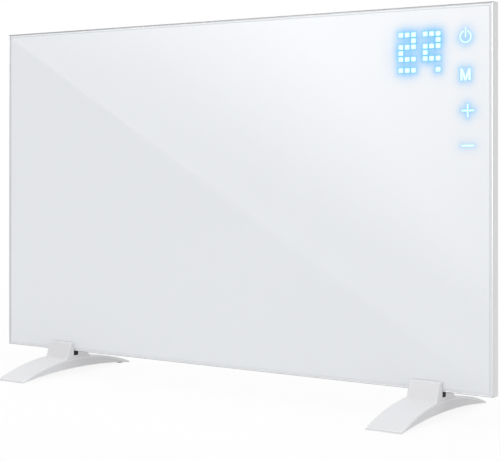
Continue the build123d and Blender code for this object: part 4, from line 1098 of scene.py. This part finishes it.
@dataclass
class Studio:
    """Plain pale floor and backdrop, soft lamps and the camera."""

    floor_size: float = 40.0
    floor_tiles: int = 20
    floor_drop: float = 0.0003
    floor_tones: Flat = (0.86, 0.88)
    patches: Noise = Noise(0.8, 2.0)
    near_white: float = 0.91
    white_reach: Flat = (0.9, 3.0)
    camera_place: Point = (1.3109, -1.9216, 0.4121)
    camera_turn: float = 0.6175
    lens: float = 96.36
    shift: Flat = (0.10, -0.154)
    world_light: float = 0.45
    glass_y: float = -0.0133
    field_y: float = -0.42
    field_points_px: tuple[Flat, ...] = (
        (-60, -14), (520, 416), (-40, -74), (540, 356), (300, 20), (560, -160), (0, -200)
    )
    field_faces: tuple[tuple[int, ...], ...] = (
        (0, 1, 3), (0, 3, 2), (2, 3, 4), (3, 5, 4), (5, 6, 4), (6, 2, 4)
    )
    field_light: Numbers = (2.05, 1.4, 3.4, 1.2, 5.5, 5.2, 0.2)
    photo_px: Flat = (500, 461)
    sensor: float = 36.0
    background: float = 1.0
    lamps: tuple[Lamp, ...] = (
        Lamp("key", (1.5, -3.8, 2.8), 3.0, 25.0, glossy=True),
        Lamp("fill", (-3.2, -2.4, 2.2), 3.0, 17.0),
        Lamp("top", (0.2, -0.1, 4.0), 3.0, 75.0, aim=(0.0, 0.0, 0.0)),
        Lamp("back", (-2.4, 3.4, 2.4), 3.0, 34.0),
        Lamp("side", (3.8, -1.4, 1.4), 2.0, 12.0),
    )

    def floor_material(self) -> Material:
        """White floor that keeps a faint shadow."""
        desk = Desk("studio_floor")
        dark, pale = (opaque((tone,) * 3) for tone in self.floor_tones)
        matt = desk.add("ShaderNodeBsdfDiffuse", {"Color": desk.mix(desk.spread(self.patches), dark, pale)})
        light = desk.add("ShaderNodeEmission", {"Color": WHITE, "Strength": self.background})
        away = desk.add("ShaderNodeVectorMath", {0: desk.place()}, operation="LENGTH").outputs["Value"]
        whiter = desk.remap(away, self.near_white, 1.0, *self.white_reach)
        share = desk.add("ShaderNodeMath", {0: desk.seen(), 1: whiter}, operation="MULTIPLY").outputs[0]
        return desk.end("ShaderNodeMixShader", {0: share, 1: matt.outputs[0], 2: light.outputs[0]})

    def build_floor(self) -> None:
        """Makes the floor, a hair below the feet."""
        count, row = self.floor_tiles, self.floor_tiles + 1
        steps = [self.floor_size * (i / count - 0.5) for i in range(row)]
        points = [(x, y, -self.floor_drop) for y in steps for x in steps]
        corners = [row * j + i for j in range(count) for i in range(count)]
        mesh = bpy.data.meshes.new("floor")
        mesh.from_pydata(points, [], [(k, k + 1, k + row + 1, k + row) for k in corners])
        mesh.materials.append(self.floor_material())
        placed("floor", mesh)

    def build_world(self) -> None:
        """White surround: full white where it is seen, softer as a light."""
        desk = Desk("studio", world=True)
        soft, white = (
            desk.add("ShaderNodeBackground", {"Color": WHITE, "Strength": strength}).outputs[0]
            for strength in (self.world_light, self.background)
        )
        bpy.context.scene.world = desk.end("ShaderNodeMixShader", {0: desk.seen(), 1: soft, 2: white})

    def reflected(self, u: float, v: float) -> Point:
        """Where the view through a pixel of the 500 x 461 frame lands after the glass mirrors it.

        Args:
            u: pixel from the left.
            v: pixel from the top.

        Returns:
            The point on the light field's upright plane.
        """
        width, height = self.photo_px
        focal = self.lens / self.sensor * width
        right = Vector((math.cos(self.camera_turn), math.sin(self.camera_turn), 0))
        ahead = Vector((-math.sin(self.camera_turn), math.cos(self.camera_turn), 0))
        across = (u - width / 2 + self.shift[0] * width) / focal
        down = (v - height / 2 - self.shift[1] * width) / focal
        ray = ahead + right * across - Vector((0, 0, 1)) * down
        eye = Vector(self.camera_place)
        hit = eye + ray * ((self.glass_y - eye.y) / ray.y)
        back = Vector((ray.x, -ray.y, ray.z))
        return tuple(hit + back * ((self.field_y - self.glass_y) / back.y))

    def build_card(self) -> None:
        """Light card that only glossy surfaces see: the pale field across the glass."""
        mesh = bpy.data.meshes.new("light_card")
        mesh.from_pydata([self.reflected(u, v) for u, v in self.field_points_px], [], self.field_faces)
        mesh.attributes.new("light", "FLOAT", "POINT").data.foreach_set("value", self.field_light)
        desk = Desk("light_card")
        mesh.materials.append(desk.end("ShaderNodeEmission", {"Strength": desk.trait("light")}))
        card = placed("light_card", mesh)
        for other in ("camera", "diffuse", "shadow", "transmission"):
            setattr(card, f"visible_{other}", False)

    def build_camera(self) -> None:
        """Sets the camera at the photograph's angle."""
        data = bpy.data.cameras.new("camera")
        data.lens = self.lens
        data.sensor_width = self.sensor
        data.shift_x, data.shift_y = self.shift
        camera = placed("camera", data)
        camera.location = self.camera_place
        camera.rotation_euler = (math.pi / 2, 0.0, self.camera_turn)
        bpy.context.scene.camera = camera

    def build(self) -> None:
        """Makes the whole studio."""
        self.build_camera()
        self.build_floor()
        self.build_world()
        for lamp in self.lamps:
            lamp.build()
        self.build_card()
        bpy.context.scene.view_settings.view_transform = "Standard"


# -- whole heater
@dataclass
class Heater:
    """The whole heater: finishes on the CAD nodes, and the pieces made here.

    A grid of screws is its columns and rows, and a y pair is where a screw's head and tip end.
    """

    cover_grid_mm: Grid = ((-440.0, -220.0, 0.0, 220.0, 440.0), (53.0, 632.0))
    side_grid_mm: Grid = ((-489.5, 489.5), (102.5, 342.5, 582.5))
    cover_y_mm: Flat = (7.45, 1.5)
    lid_grid_mm: Grid = ((345.0, 467.0), (393.5, 609.5))
    lid_y_mm: Flat = (35.5, 7.5)
    lid_head_radius_mm: float = 2.8
    paints: Paints = field(default_factory=mix_paints)

    def dress_nodes(self) -> None:
        """Gives every CAD node the finish of its slot."""
        for part in frame["record"]["subparts"]:
            node = frame["nodes"][part["node"]]
            for place in node.material_slots:
                place.material = self.paints[part["material_slot"]]
        LOG.info("dressed %d nodes", len(frame["nodes"]))

    def screw_sets(self) -> list[CrossScrews]:
        """The screws of the back cover and those of the control box's lid."""
        columns, rows = self.cover_grid_mm
        cover = [(x, z) for z in rows for x in columns] + list(product(*self.side_grid_mm))
        lid = list(product(*self.lid_grid_mm))
        return [
            CrossScrews("cover_screw_set", "cover_screws", cover, *self.cover_y_mm),
            CrossScrews("lid_screw_set", "lid_screws", lid, *self.lid_y_mm, self.lid_head_radius_mm),
        ]

    def build(self) -> None:
        """Dresses the nodes and makes the new pieces."""
        self.dress_nodes()
        marks = LitMarks()
        GlassFront().build(self.paints, marks)
        for assembly in (marks, RailSet(), *self.screw_sets(), SwitchMarks()):
            assembly.build(self.paints)


def main() -> None:
    """Builds the studio and the heater."""
    logging.basicConfig(level=logging.INFO, format="%(message)s")
    Studio().build()
    Heater().build()


if __name__ == "__main__":
    main()
